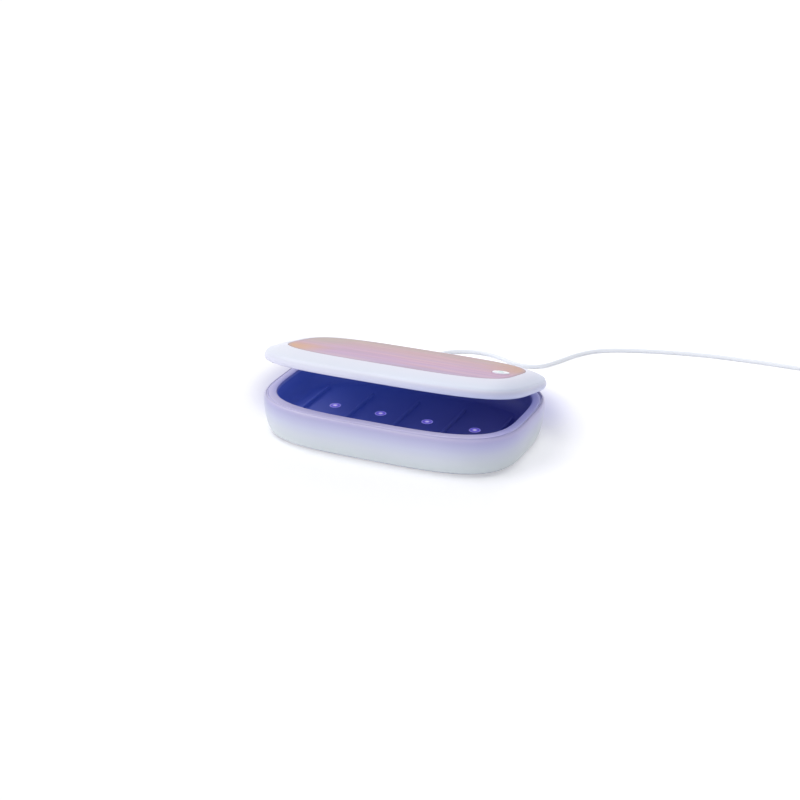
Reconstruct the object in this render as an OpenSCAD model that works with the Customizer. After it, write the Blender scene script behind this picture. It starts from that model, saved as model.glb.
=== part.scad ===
/* [Overall] */
// Length of the closed box, across the front
body_len = 215; // [175:1:260]
// Depth of the closed box, front to hinge
body_wid = 137; // [114:1:165]
// How square the outline is: 2 is an ellipse, higher is squarer
squareness = 3.5; // [3:0.1:4.5]
// Height of the rim of the base above the surface it stands on
rim_z = 32; // [27:0.5:39]
// Angle that the lid stands open, in degrees
lid_open = 14.1; // [0:0.1:60]

/* [Base shell] */
// Height of the underside above the surface
foot_gap = 1.2; // [1:0.1:2]
// Wall of the base shell
shell_wall = 2.4; // [2:0.1:3]
// Drop from the rim to the widest line of the wall
shoulder_drop = 3.7; // [3:0.1:5]
// How far the wall draws in from its widest line to the bottom
tuck = 5.8; // [4.5:0.1:7]
// How late the wall turns in: higher keeps it upright for longer
tuck_power = 1.8; // [1.5:0.1:2.4]
// Width of the outer lip on the rim
lip_wid = 2.3; // [2.2:0.1:2.6]
// Width of the seal groove between the lip and the tray flange
groove_wid = 1.2; // [1:0.1:1.4]

/* [Chamber tray] */
// Rim width at the two ends, from the widest line to the mouth
rim_end = 9.2; // [8.5:0.1:12]
// Rim width along the front and the back
rim_side = 10.2; // [9.5:0.1:13]
// Height of the chamber floor
floor_z = 12; // [11.5:0.1:14]
// Thickness of the tray
tray_wall = 1.6; // [1.4:0.1:2]
// How far the chamber wall draws in from the mouth to the floor
tray_draw = 8.5; // [7:0.1:11]
// Height of the ribs on the chamber floor
rib_h = 3; // [1.5:0.1:5]
// Distance of the end rib from the end of the floor
rib_margin = 9.8; // [8:0.1:14]

/* [Lid] */
// Gap between the rim and the closed lid
lid_gap = 0.6; // [0.5:0.1:1]
// Height of the lid
lid_h = 12.7; // [12.4:0.1:16]
// Height of the ridge above the edge of the lid
ridge_h = 6.4; // [5.6:0.1:6.8]
// How far the edge of the lid draws in below the ridge
edge_draw = 2.2; // [1.8:0.1:2.6]
// Wall of the lid
lid_wall = 2.2; // [2:0.1:2.6]
// Bezel width at the two ends, from the ridge to the panel
bezel_end = 15.5; // [14:0.1:19]
// Bezel width along the front and the back
bezel_side = 18.5; // [16:0.1:22]
// Thickness of the panel let into the lid
panel_t = 1.6; // [1.2:0.1:2]
// Thickness of the liner under the lid
liner_t = 1.2; // [1:0.1:1.4]

/* [Hinge] */
// Diameter of the hinge pin
pin_d = 2.5; // [2:0.1:3]
// Diameter of the hinge knuckles
knuckle_d = 6; // [5.8:0.1:6.4]
// Length of the lid's knuckle
knuckle_len = 46; // [30:1:56]
// Length of each ear on the base
ear_len = 7; // [5:0.5:10]

/* [Button] */
// Distance of the button's centre from the panel's end
button_end = 12.5; // [11.5:0.1:20]
// How far the button sits in front of the middle line
button_front = 3; // [0:0.5:5]
// Diameter of the button
button_d = 13.6; // [11:0.1:14]
// Travel of the button
button_travel = 0.5; // [0.3:0.1:0.6]

/* [Lamps] */
// Width of a lamp package
led_w = 3.5; // [3:0.1:4]
// Diameter of a lamp window
window_d = 9; // [7:0.1:11]
// Width of a lamp board
board_w = 12; // [11.5:0.5:14]

/* [Cord] */
// Distance of the cord's socket from the middle of the back
socket_off = 44; // [38:1:46]
// Diameter of the cord
cord_d = 3.5; // [3:0.1:3.5]
// Outer radius of the coiled stretch, at the cord's centre
coil_r = 25; // [24:0.5:30]
// Loops in the coiled stretch
coil_loops = 4.25; // [3.25:1:5.25]

/* [Hidden] */
$fn = 48;

// Points round every outline, and the hair's width that cuts run past a face
around = 64;
eps = 0.05;
// Clearances: loose seat, running bore, moving neighbour
seat_gap = 0.2;
bore_gap = 0.02;
move_gap = 0.5;

// Heights of the base, from the bottom up
widest_z = rim_z - shoulder_drop;
cover_t = 2;
cover_top = foot_gap + cover_t;
flange_t = 1.8;
ledge_z = rim_z - flange_t;
ledge_t = 1.4;
ledge_in = lip_wid + groove_wid + 1.2;
inner_lip = 10.4;
cover_in = 8.2;

// Heights of the closed lid
edge_z = rim_z + lid_gap;
ridge_z = edge_z + ridge_h;
lid_top = edge_z + lid_h;
panel_z = lid_top - panel_t;
panel_lap = 3;
panel_ledge_t = 1.4;
panel_square = squareness + 0.1;

// Boards: thickness, standing height, lamp height
board_t = 1.2;
post_h = 1;
led_h = 0.8;

// Button and switch stack, hung from the panel
cap_rise = 0.8;
cap_flange_t = 1;
cap_gap = 0.25;
stem_h = 0.4;
switch_h = 2.8;
switch_top = panel_z - seat_gap - cap_flange_t - stem_h - button_travel - 0.1;
lid_board_top = switch_top - switch_h;
lid_board_z = lid_board_top - board_t;
liner_top = lid_board_z - post_h;
liner_z = liner_top - liner_t;
liner_in = edge_draw + lid_wall + 0.4;
liner_rim_t = 1.6;
liner_rim_z = edge_z + 0.6;

// Hinge axis, at the back on the parting line
hinge_y = body_wid / 2 - 0.8;
hinge_z = rim_z + 1.2;
hinge_gap = 0.3;
bush_len = 6;
bush_d = pin_d + 1.8;
hinge_half = knuckle_len / 2 + hinge_gap + ear_len;

// Chamber floor, ribs and lamps
floor_hx = body_len / 2 - rim_end - tray_draw;
floor_hy = body_wid / 2 - rim_side - tray_draw;
rib_pitch = (floor_hx - rib_margin) / 2;
rib_t = 2;
rib_half = floor_hy - 20;
base_lamps = [for (i = [-1.5:1:1.5]) [i * rib_pitch, 0]];
lamp_row_y = floor_hy - 23.8;
lid_lamps = [for (i = [-1:1:1], s = [-1, 1]) [i * rib_pitch, s * lamp_row_y]];
lid_board_half = rib_pitch + 16;
base_board_half = 1.5 * rib_pitch + 10;
base_board_z = floor_z - tray_wall - post_h - board_t;

// Screws: coarse ones for the covers, small ones for the boards
screw_r = 1.3;
screw_head_r = 2.6;
screw_head_h = 1.4;
small_r = 0.9;
small_head_r = 1.8;
small_head_h = 1;
small_len = 2.8;
pilot_gap = 0.05;
boss_r = 3.5;
cover_screw_len = 7;
cover_screws_at = [for (x = [-1, 0, 1], y = [-1, 1]) [x * (floor_hx - 27.8), y * (floor_hy - 9.8)]];
liner_boss_r = 3;
liner_screw_len = 5.4;
liner_boss_top = ridge_z + 2.7;
liner_screw_x = body_len / 2 - 27.5;
liner_screws_at = concat(
    [for (x = [-1, 1], y = [-1, 1]) [x * liner_screw_x, y * side_y(liner_screw_x, 9.84)]],
    [for (y = [-1, 1]) [0, y * (body_wid / 2 - 10)]]);
base_board_screws_at = [for (i = [-1:1:1]) [i * rib_pitch, 0]];
lid_board_screws_at = [for (i = [-0.5, 0.5], s = [-1, 1]) [i * rib_pitch, s * lamp_row_y]];

// Sensor board at the front of the base, and the magnet over it in the lid
sensor_w = 14;
sensor_z = 17;
sensor_h = 10;
sensor_y = -(body_wid / 2 - rim_side + 3.4);
magnet_r = 3;
magnet_h = 2;
magnet_y = -(body_wid / 2 - 17.5);

// Feet
foot_r = 7;
foot_sink = 0.8;
feet_at = [for (x = [-1, 1], y = [-1, 1])
    [x * (body_len / 2 - 29.5), y * (body_wid / 2 - 30.4)]];

// Main board and its socket, against the back wall
main_post_h = 2.4;
main_z = cover_top + main_post_h;
sock_w = 8.9;
sock_h = 3.2;
sock_len = 7.4;
sock_z = main_z + board_t + sock_h / 2;
sock_x = -socket_off;
sock_y = side_y(socket_off, tuck_at(sock_z) + shell_wall) - 0.2;
main_len = 36;
main_wid = 14;
main_y = sock_y - 4.5 - main_wid;
main_screws_at = [[sock_x - 14, main_y + 4], [sock_x + 14, main_y + 4]];

// Plug in the box: its face stands just off the back wall
plug_w = 11;
plug_h = 6.6;
plug_face = side_y(socket_off - plug_w / 2, tuck_at(sock_z + plug_h / 2)) + seat_gap;
plug_len = 19;
relief_len = 8;
plug_fit = 0.1;
cord_r = cord_d / 2;
lead_start = [sock_x, plug_face + plug_len + relief_len, sock_z];

// Button centre, on the closed lid
button_x = body_len / 2 - bezel_end - button_end;
button_y = -button_front;
lens_r = 2;
button_screws_at = [for (s = [-1, 1]) [button_x, button_y + s * 6.5]];

// Route of the cord on the surface, laid in loose curves
lead_route = [[-44, 105, 7], [-44, 119, 3.4], [-44, 133, 1.8], [-43, 147, 1.8],
    [-38, 160, 1.8], [-28.5, 171, 1.8], [-14.5, 177.5, 1.8], [1, 178.5, 1.8],
    [15, 174.5, 1.8], [29, 168, 1.8], [43, 165.4, 1.8], [55, 171, 1.8], [64, 186, 1.8],
    [73.5, 206.5, 1.8], [85, 222, 1.8], [100, 232, 1.8], [118, 239, 1.8], [138, 245, 1.8],
    [160, 250, 1.8], [182, 253.5, 1.8], [204, 255, 1.8], [226, 256, 1.8], [248, 256, 1.8],
    [268, 256, 1.8]];
lead_end = [296, 256, 2.25];
lead_steps = 2;

// The coiled stretch: two layers that spiral in and out again
coil_pitch = 4.2;
coil_climb = 4.1;
coil_sides = 6;
coil_per_loop = 24;
coil_low = lead_end[2];
coil_half = coil_loops * 180;
coil_at = [lead_end[0] + cord_d, lead_end[1] - coil_r];
tail_len = 24;
tail_low = 3.8;

// The strap round the coil, and the turns at the place where it sits
tie_w = 6;
tie_t = 0.4;
tie_turn = 225;
tie_out = coil_r - coil_pitch * tie_turn / 360;
tie_in = tie_out - coil_pitch * floor((coil_half - tie_turn) / 360);

// The far plug lies on the surface
far_w = 15.6;
far_h = 7.6;
far_len = 22;
far_shell_w = 12;
far_shell_h = 4.5;
far_shell_len = 18.7;
far_start = [coil_at[0] + coil_r, coil_at[1] - tail_len - cord_d, tail_low];

// Draw-in of the base wall at a height below its widest line
function tuck_at(z) = let (s = max(0, (widest_z - z) / (widest_z - foot_gap)))
    tuck * (1 - pow(max(0, 1 - pow(s, tuck_power)), 1 / tuck_power));

// Rounded outline, drawn in from the widest line by dx at the ends and dy at the sides
function outline(dx, dy, n = squareness) = [for (i = [0:around - 1])
    let (a = 360 * i / around, c = cos(a), s = sin(a),
        k = pow(pow(abs(c), n) + pow(abs(s), n), -1 / n))
    [(body_len / 2 - dx) * k * c, (body_wid / 2 - dy) * k * s]];

// How far back the outline lies at x, drawn in by d
function side_y(x, d) = (body_wid / 2 - d)
    * pow(1 - pow(abs(x) / (body_len / 2 - d), squareness), 1 / squareness);

function ring(dx, dy, z, n = squareness) = [for (p = outline(dx, dy, n)) [p[0], p[1], z]];

function smooth(u) = let (t = min(1, max(0, u))) t * t * (3 - 2 * t);

function unit(v) = v / norm(v);

// Point on a smooth curve through four points, between the middle two
function curve_at(a, b, c, d, u) = 0.5 * (2 * b + (c - a) * u
    + (2 * a - 5 * b + 4 * c - d) * u * u + (3 * b - a - 3 * c + d) * u * u * u);

// Corners of a tube's ring at p, square to the direction t
function tube_ring(p, t, r, sides) = let (side = unit(cross(t, [0, 0, 1])), up = cross(side, t))
    [for (i = [0:sides - 1]) let (a = 360 * (i + 0.5) / sides)
        p + r * (cos(a) * side + sin(a) * up)];

// Direction of a path at one of its points
function heading(path, i) = let (n = len(path) - 1)
    unit(path[min(n, i + 1)] - path[max(0, i - 1)]);

// Length of a path
function path_len(path, i = 0) = i >= len(path) - 1 ? 0
    : norm(path[i + 1] - path[i]) + path_len(path, i + 1);

// Joins rings of points into one closed skin, in a loop or with two flat ends
module skin(rings, loop = false) {
    n = len(rings[0]);
    m = len(rings);
    last = loop ? m - 1 : m - 2;
    sides = [for (k = [0:last], i = [0:n - 1], half = [0, 1])
        let (a = k * n + i, b = k * n + (i + 1) % n, up = (k + 1) % m,
            c = up * n + i, d = up * n + (i + 1) % n)
        half == 0 ? [a, c, d] : [a, d, b]];
    low = [for (i = [1:n - 2]) [0, i, i + 1]];
    high = [for (i = [1:n - 2]) [(m - 1) * n, (m - 1) * n + i + 1, (m - 1) * n + i]];
    polyhedron([for (r = rings) each r], loop ? sides : concat(sides, low, high));
}

// A straight-sided plate with the box's outline
module plate(dx, dy, z, h, n = squareness) {
    translate([0, 0, z]) linear_extrude(h) polygon(outline(dx, dy, n));
}

// A bar with round ends across X, running along Y
module round_bar(w, h, length) {
    translate([-(w - h) / 2, 0, -h / 2]) cube([w - h, length, h]);
    for (s = [-1, 1]) translate([s * (w - h) / 2, 0, 0]) rotate([-90, 0, 0])
        cylinder(d = h, h = length);
}

// A post or a hole along Z from z0 to z1
module rod(at, r, z0, z1) {
    translate([at[0], at[1], z0]) cylinder(r = r, h = z1 - z0);
}

// A rod along X from x0 to x1 on the hinge axis
module axle(r, x0, x1) {
    translate([x0, hinge_y, hinge_z]) rotate([0, 90, 0]) cylinder(r = r, h = x1 - x0);
}

// A screw with a domed head at the origin and its shank along +Z
module screw(head_r, head_h, r, length) {
    difference() {
        union() {
            translate([0, 0, -head_h]) cylinder(r1 = head_r * 0.8, r2 = head_r, h = head_h);
            cylinder(r = r, h = length);
        }
        translate([-head_r / 2, -0.3, -head_h - eps]) cube([head_r, 0.6, head_h / 2]);
        translate([-0.3, -head_r / 2, -head_h - eps]) cube([0.6, head_r, head_h / 2]);
    }
}

// Everything on the lid is drawn closed and swung open about the hinge axis
module on_lid() {
    translate([0, hinge_y, hinge_z]) rotate([-lid_open, 0, 0])
        translate([0, -hinge_y, -hinge_z]) children();
}

// Wall, rim, seal ledge and bottom lip of the base, as one turned profile
module base_shell() {
    outside = [for (s = [1, 0.96, 0.88, 0.75, 0.55, 0.28, 0])
        let (z = widest_z - s * (widest_z - foot_gap)) [tuck_at(z), z]];
    rim = [[0.35, widest_z + shoulder_drop * 0.5], [1.1, rim_z - 0.6], [lip_wid - 0.6, rim_z],
        [lip_wid, rim_z - 0.4], [lip_wid, ledge_z], [ledge_in, ledge_z],
        [ledge_in, ledge_z - ledge_t], [shell_wall, ledge_z - ledge_t - 3]];
    inside = [for (z = [widest_z - 6, widest_z - 14, cover_top + 1.2]) [shell_wall + tuck_at(z), z]];
    foot = [[inner_lip, cover_top + 1.2], [inner_lip, cover_top], [cover_in, cover_top],
        [cover_in, foot_gap]];
    color([0.86, 0.86, 0.95]) difference() {
        union() {
            difference() {
                skin([for (p = concat(outside, rim, inside, foot)) ring(p[0], p[0], p[1])], loop = true);
                axle(knuckle_d / 2 + move_gap, -knuckle_len / 2 - hinge_gap,
                    knuckle_len / 2 + hinge_gap);
            }
            for (s = [-1, 1]) {
                x0 = knuckle_len / 2 + hinge_gap;
                axle(knuckle_d / 2, s > 0 ? x0 : -x0 - ear_len, s > 0 ? x0 + ear_len : -x0);
            }
        }
        axle(pin_d / 2 + bore_gap, -hinge_half - eps, hinge_half + eps);
        translate([sock_x, sock_y - 4, sock_z]) round_bar(sock_w + 0.6, sock_h + 0.6, shell_wall + 8);
    }
}

// Chamber tray with its flange, floor ribs, lamp holes and fixing bosses
module inner_tray() {
    // Steps are [draw-in from the mouth, height]
    low = floor_z - tray_wall;
    outside = [[tray_draw, low], [tray_draw - 3.2, low + 0.5], [tray_draw * 0.3, low + 3.4],
        [0.4 - tray_wall, floor_z + 8], [-tray_wall, ledge_z]];
    inside = [[0, rim_z - 0.5], [1.2, floor_z + 8], [tray_draw * 0.45, floor_z + 2.6],
        [tray_draw - 2, floor_z + 0.4], [tray_draw, floor_z]];
    flange = lip_wid + groove_wid;
    color([0.2, 0.23, 0.6]) difference() {
        union() {
            skin(concat(
                [for (p = outside) ring(rim_end + p[0], rim_side + p[0], p[1])],
                [ring(flange, flange, ledge_z), ring(flange, flange, rim_z),
                    ring(rim_end - 0.5, rim_side - 0.5, rim_z)],
                [for (p = inside) ring(rim_end + p[0], rim_side + p[0], p[1])]));
            for (i = [-2:2]) {
                translate([i * rib_pitch - rib_t / 2, -rib_half, floor_z - 0.5])
                    cube([rib_t, 2 * rib_half, rib_h + 0.5]);
            }
            for (p = cover_screws_at) rod(p, boss_r, cover_top, low + 0.5);
            for (p = base_board_screws_at) rod(p, 2.5, low - post_h, low + 0.5);
            for (s = [-1, 1]) sensor_rail(s);
        }
        axle(knuckle_d / 2 + move_gap, -hinge_half - hinge_gap, hinge_half + hinge_gap);
        for (p = base_lamps) rod(p, window_d / 2 + 0.1, low - eps, floor_z + eps);
        for (p = cover_screws_at) {
            rod(p, screw_r + pilot_gap, cover_top - eps, cover_top + cover_screw_len);
        }
        for (p = base_board_screws_at) {
            rod(p, small_r + pilot_gap, low - post_h - eps, low - post_h + small_len - board_t + 0.3);
        }
    }
}

// Rail on the front of the tray that holds one edge of the lid sensor
module sensor_rail(s) {
    difference() {
        translate([s * sensor_w / 2 - 1.5, sensor_y - 2, sensor_z - 1]) cube([3, 5, sensor_h + 1]);
        translate([s * sensor_w / 2 - s * 1 - 1.2, sensor_y - board_t / 2 - 0.1, sensor_z])
            cube([2.4, board_t + 0.2, sensor_h + 1]);
    }
}

// Bottom plate, screwed up into the tray so that the shell is held between them
module base_cover() {
    color([0.8, 0.8, 0.84]) difference() {
        union() {
            plate(cover_in + seat_gap, cover_in + seat_gap, foot_gap, cover_t);
            for (p = main_screws_at) rod(p, 2.5, cover_top - eps, main_z);
        }
        for (p = feet_at) rod(p, foot_r + seat_gap, foot_gap - eps, foot_gap + foot_sink);
        for (p = cover_screws_at) {
            rod(p, screw_r + 0.2, foot_gap - eps, cover_top + eps);
            rod(p, screw_head_r + 0.3, foot_gap - eps, foot_gap + screw_head_h);
        }
        for (p = main_screws_at) {
            rod(p, small_r + pilot_gap, main_z - small_len + board_t - 0.3, main_z + eps);
        }
    }
}

module rubber_feet() {
    top = foot_gap + foot_sink;
    color([0.35, 0.35, 0.38]) for (p = feet_at) translate([p[0], p[1], 0]) rotate_extrude()
        polygon([[0, 0], [foot_r - 1, 0], [foot_r, 0.6], [foot_r, top], [0, top]]);
}

module cover_screws() {
    color([0.6, 0.6, 0.62]) for (p = cover_screws_at) translate([p[0], p[1], foot_gap + screw_head_h])
        screw(screw_head_r, screw_head_h, screw_r, cover_screw_len);
}

// Soft ring in the groove, open where the hinge stands
module rim_seal() {
    gap = 0.1;
    color([0.55, 0.55, 0.66]) difference() {
        plate(lip_wid + gap, lip_wid + gap, ledge_z, flange_t - 0.3);
        plate(lip_wid + groove_wid - gap, lip_wid + groove_wid - gap, ledge_z - eps, flange_t);
        translate([-hinge_half - 1, 0, ledge_z - eps]) cube([2 * hinge_half + 2, body_wid, flange_t]);
    }
}

// A board with the given outline, from corner to corner, drilled for small screws
module board(x0, y0, w, d, z, holes) {
    difference() {
        translate([x0, y0, z]) cube([w, d, board_t]);
        for (p = holes) rod(p, small_r + 0.2, z - eps, z + board_t + eps);
    }
}

module base_lamp_board() {
    color([0.1, 0.4, 0.25])
        board(-base_board_half, -board_w / 2, 2 * base_board_half, board_w, base_board_z,
            base_board_screws_at);
}

// A lamp package: a square base with a clear round dome seat on it
module lamp(at, z, up) {
    translate([at[0], at[1], z]) mirror([0, 0, up ? 0 : 1]) difference() {
        translate([-led_w / 2, -led_w / 2, 0]) cube([led_w, led_w, led_h]);
        translate([0, 0, led_h - 0.3]) cylinder(d = led_w * 0.7, h = 0.3 + eps);
    }
}

module base_uv_lamps() {
    color([0.9, 0.9, 0.7]) for (p = base_lamps) lamp(p, base_board_z + board_t, true);
}

module base_lamp_windows() {
    color([0.75, 0.7, 0.95]) for (p = base_lamps) rod(p, window_d / 2, floor_z - tray_wall, floor_z);
}

// Control board with its driver parts, on the bottom plate
module main_board() {
    color([0.1, 0.4, 0.25]) {
        board(sock_x - main_len / 2, main_y, main_len, main_wid, main_z, main_screws_at);
        translate([sock_x - 4, main_y + 1.5, main_z + board_t - eps]) cube([8, 6, 1.4]);
        translate([sock_x + 6, main_y + 8, main_z + board_t - eps]) cube([5, 5, 2.2]);
        translate([sock_x - 11, main_y + 9, main_z + board_t - eps]) cube([4, 3, 1.6]);
    }
}

// Charging socket: a round-ended metal sleeve, closed behind, with its tongue
module usb_socket() {
    color([0.75, 0.75, 0.78]) translate([sock_x, sock_y - sock_len, sock_z]) {
        difference() {
            round_bar(sock_w, sock_h, sock_len);
            translate([0, 0.8, 0]) round_bar(sock_w - 0.5, sock_h - 0.5, sock_len);
        }
        translate([-3.3, 0.8 - eps, -0.35]) cube([6.6, 4.6, 0.7]);
    }
}

module base_board_screws() {
    color([0.6, 0.6, 0.62]) {
        for (p = base_board_screws_at) translate([p[0], p[1], base_board_z])
            screw(small_head_r, small_head_h, small_r, small_len);
        for (p = main_screws_at) translate([p[0], p[1], main_z + board_t]) rotate([180, 0, 0])
            screw(small_head_r, small_head_h, small_r, small_len);
    }
}

// Upright sensor board in the tray's rails, which feels the lid's magnet
module lid_sensor() {
    color([0.1, 0.4, 0.25]) {
        translate([-sensor_w / 2, sensor_y - board_t / 2, sensor_z]) cube([sensor_w, board_t, sensor_h]);
        translate([-1.6, sensor_y + board_t / 2 - eps, sensor_z + 5]) cube([3.2, 1, 3]);
    }
}

module hinge_pin() {
    color([0.7, 0.7, 0.72]) axle(pin_d / 2, -hinge_half, hinge_half);
}

// Lid frame: band, ridge, bezel and the ledge that the panel lies on, with the knuckle
module lid_shell() {
    // Band steps are [share of the edge's draw-in, share of the way from the edge to the ridge]
    // Bezel steps are [share of the way from the ridge to the panel, share of the rise]
    rise = lid_top - ridge_z;
    bezel = [for (p = [[0.12, 0.24], [0.4, 0.58], [0.72, 0.86], [0.96, 1]])
        ring(bezel_end * p[0], bezel_side * p[0], ridge_z + rise * p[1],
            squareness + (panel_square - squareness) * p[0])];
    band = [for (p = [[1, 0], [0.42, 0.13], [0.12, 0.32], [0, 0.55], [0.12, 0.78], [0.45, 1]])
        ring(edge_draw * p[0], edge_draw * p[0], edge_z + ridge_h * p[1])];
    in_x = bezel_end + panel_lap;
    in_y = bezel_side + panel_lap;
    under = panel_z - panel_ledge_t;
    inner = edge_draw + lid_wall;
    swept = concat(band, bezel,
        [ring(bezel_end, bezel_side, lid_top - 0.4, panel_square),
            ring(bezel_end, bezel_side, panel_z, panel_square),
            ring(in_x, in_y, panel_z, panel_square), ring(in_x, in_y, under, panel_square),
            ring(bezel_end * 0.55, bezel_side * 0.55, ridge_z + rise * 0.72 - lid_wall),
            ring(lid_wall + 0.9, lid_wall + 0.9, ridge_z - 0.4), ring(inner, inner, edge_z)]);
    color([0.92, 0.93, 0.98]) on_lid() difference() {
        union() {
            difference() {
                skin(swept, loop = true);
                for (s = [-1, 1]) {
                    x0 = knuckle_len / 2;
                    x1 = hinge_half + hinge_gap;
                    axle(knuckle_d / 2 + move_gap, s > 0 ? x0 : -x1, s > 0 ? x1 : -x0);
                }
            }
            axle(knuckle_d / 2, -knuckle_len / 2, knuckle_len / 2);
            for (p = liner_screws_at) rod(p, liner_boss_r, liner_top, liner_boss_top);
        }
        axle(pin_d / 2 + 0.2, -knuckle_len / 2 - eps, knuckle_len / 2 + eps);
        for (s = [-1, 1]) {
            x0 = s > 0 ? knuckle_len / 2 - bush_len : -knuckle_len / 2 - eps;
            axle(bush_d / 2 + bore_gap, x0, x0 + bush_len + eps);
        }
        for (p = liner_screws_at) {
            rod(p, screw_r + pilot_gap, liner_top - eps, liner_z + liner_screw_len + 0.3);
        }
    }
}

// Coloured panel, flush with the bezel, with the button's hole
module lid_panel() {
    color([0.82, 0.69, 0.79]) on_lid() difference() {
        plate(bezel_end + 0.15, bezel_side + 0.15, panel_z, panel_t, panel_square);
        rod([button_x, button_y], button_d / 2 + cap_gap, panel_z - eps, lid_top + eps);
    }
}

// Ceiling of the chamber, with a turned-down rim, lamp holes and board posts
module lid_liner() {
    posts = concat(lid_board_screws_at, button_screws_at);
    color([0.8, 0.82, 0.9]) on_lid() difference() {
        union() {
            plate(liner_in, liner_in, liner_z, liner_t);
            difference() {
                plate(liner_in, liner_in, liner_rim_z, liner_z - liner_rim_z + eps);
                plate(liner_in + liner_rim_t, liner_in + liner_rim_t, liner_rim_z - eps, liner_z);
            }
            for (p = posts) rod(p, 2.5, liner_top - eps, lid_board_z);
            rod([0, magnet_y], magnet_r + 1, liner_top - eps, liner_top + magnet_h);
        }
        rod([0, magnet_y], magnet_r + 0.1, liner_top, liner_top + magnet_h + eps);
        for (p = lid_lamps) rod(p, window_d / 2 + 0.1, liner_z - eps, liner_top + eps);
        for (p = liner_screws_at) rod(p, screw_r + 0.2, liner_z - eps, liner_top + eps);
        for (p = posts) {
            rod(p, small_r + pilot_gap, lid_board_top - small_len - 0.2, lid_board_z + eps);
        }
    }
}

module liner_screws() {
    color([0.6, 0.6, 0.62]) on_lid() for (p = liner_screws_at)
        translate([p[0], p[1], liner_z])
            screw(screw_head_r, screw_head_h, screw_r, liner_screw_len);
}

// Friction bushes pressed into the ends of the lid's knuckle
module hinge_bushes() {
    color([0.85, 0.85, 0.8]) on_lid() for (s = [-1, 1]) difference() {
        x0 = s > 0 ? knuckle_len / 2 - bush_len : -knuckle_len / 2;
        axle(bush_d / 2, x0, x0 + bush_len);
        axle(pin_d / 2 + bore_gap, x0 - eps, x0 + bush_len + eps);
    }
}

module lid_lamp_boards() {
    color([0.1, 0.4, 0.25]) on_lid() for (s = [-1, 1])
        board(-lid_board_half, s * lamp_row_y - board_w / 2, 2 * lid_board_half, board_w,
            lid_board_z, [for (p = lid_board_screws_at) if (p[1] * s > 0) p]);
}

module lid_uv_lamps() {
    color([0.9, 0.9, 0.7]) on_lid() for (p = lid_lamps) lamp(p, lid_board_z, false);
}

module lid_lamp_windows() {
    color([0.75, 0.7, 0.95]) on_lid() for (p = lid_lamps) rod(p, window_d / 2, liner_z, liner_top);
}

module button_board() {
    color([0.1, 0.4, 0.25]) on_lid()
        board(button_x - 5, button_y - 9, 10, 18, lid_board_z, button_screws_at);
}

// Key switch: a square body with its round plunger
module button_switch() {
    body_h = switch_h - 0.6;
    color([0.2, 0.2, 0.22]) on_lid() translate([button_x, button_y, lid_board_top]) {
        translate([-3, -3, 0]) cube([6, 6, body_h]);
        cylinder(d = 3.4, h = switch_h);
    }
}

module lid_board_screws() {
    color([0.6, 0.6, 0.62]) on_lid() for (p = concat(lid_board_screws_at, button_screws_at))
        translate([p[0], p[1], lid_board_top]) rotate([180, 0, 0])
            screw(small_head_r, small_head_h, small_r, small_len);
}

// Magnet at the front of the lid, over the sensor in the base
module lid_magnet() {
    color([0.7, 0.7, 0.74]) on_lid() rod([0, magnet_y], magnet_r, liner_top, liner_top + magnet_h);
}

// Button cap: slightly domed top, skirt, stop flange under the panel, stem
module power_button() {
    top = lid_top + cap_rise;
    low = panel_z - seat_gap - cap_flange_t;
    r = button_d / 2;
    color([0.95, 0.96, 0.98]) on_lid() translate([button_x, button_y, 0]) rotate_extrude()
        polygon([[0, low - stem_h], [1.8, low - stem_h], [1.8, low], [r + 0.9, low],
            [r + 0.9, low + cap_flange_t], [r, low + cap_flange_t], [r, top - 0.7],
            [r - 0.2, top - 0.4], [r - 0.7, top - 0.15], [r * 0.6, top - 0.03],
            [lens_r + 0.05, top], [lens_r + 0.05, top - 0.8], [0, top - 0.8]]);
}

module button_lens() {
    top = lid_top + cap_rise;
    color([0.45, 0.8, 0.82]) on_lid() rod([button_x, button_y], lens_r, top - 0.8, top);
}

// Moulded plug at the box, with its tapered relief
module box_plug() {
    color([0.9, 0.9, 0.96]) translate([sock_x, plug_face, sock_z]) {
        round_bar(plug_w, plug_h, plug_len);
        translate([0, plug_len, 0]) rotate([-90, 0, 0])
            cylinder(r1 = 2.8, r2 = cord_r + 0.4, h = relief_len);
    }
}

// Hollow metal nose of the plug, in the socket
module box_plug_shell() {
    nose = plug_face - sock_y + 5.6;
    w = sock_w - 0.5 - 2 * plug_fit;
    h = sock_h - 0.5 - 2 * plug_fit;
    color([0.78, 0.78, 0.8]) translate([sock_x, plug_face - nose, sock_z]) difference() {
        round_bar(w, h, nose);
        translate([0, -eps, 0]) round_bar(w - 0.7, h - 0.7, nose - 2.4);
    }
}

// Free stretch of the cord, swept along its route
lead_points = concat([lead_start, lead_start + [0, cord_d, 0]], lead_route, [lead_end]);
lead_path = concat(
    [lead_start],
    [for (i = [1:len(lead_points) - 2], j = [0:lead_steps - 1])
        curve_at(lead_points[i - 1], lead_points[i], lead_points[i + 1],
            lead_points[min(len(lead_points) - 1, i + 2)], j / lead_steps)],
    [lead_end]);
module cord_lead() {
    n = len(lead_path) - 1;
    color([0.88, 0.88, 0.96]) skin([for (i = [0:n])
        tube_ring(lead_path[i], i == 0 ? [0, 1, 0] : i == n ? [1, 0, 0] : heading(lead_path, i),
            cord_r, 8)]);
}

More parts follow.
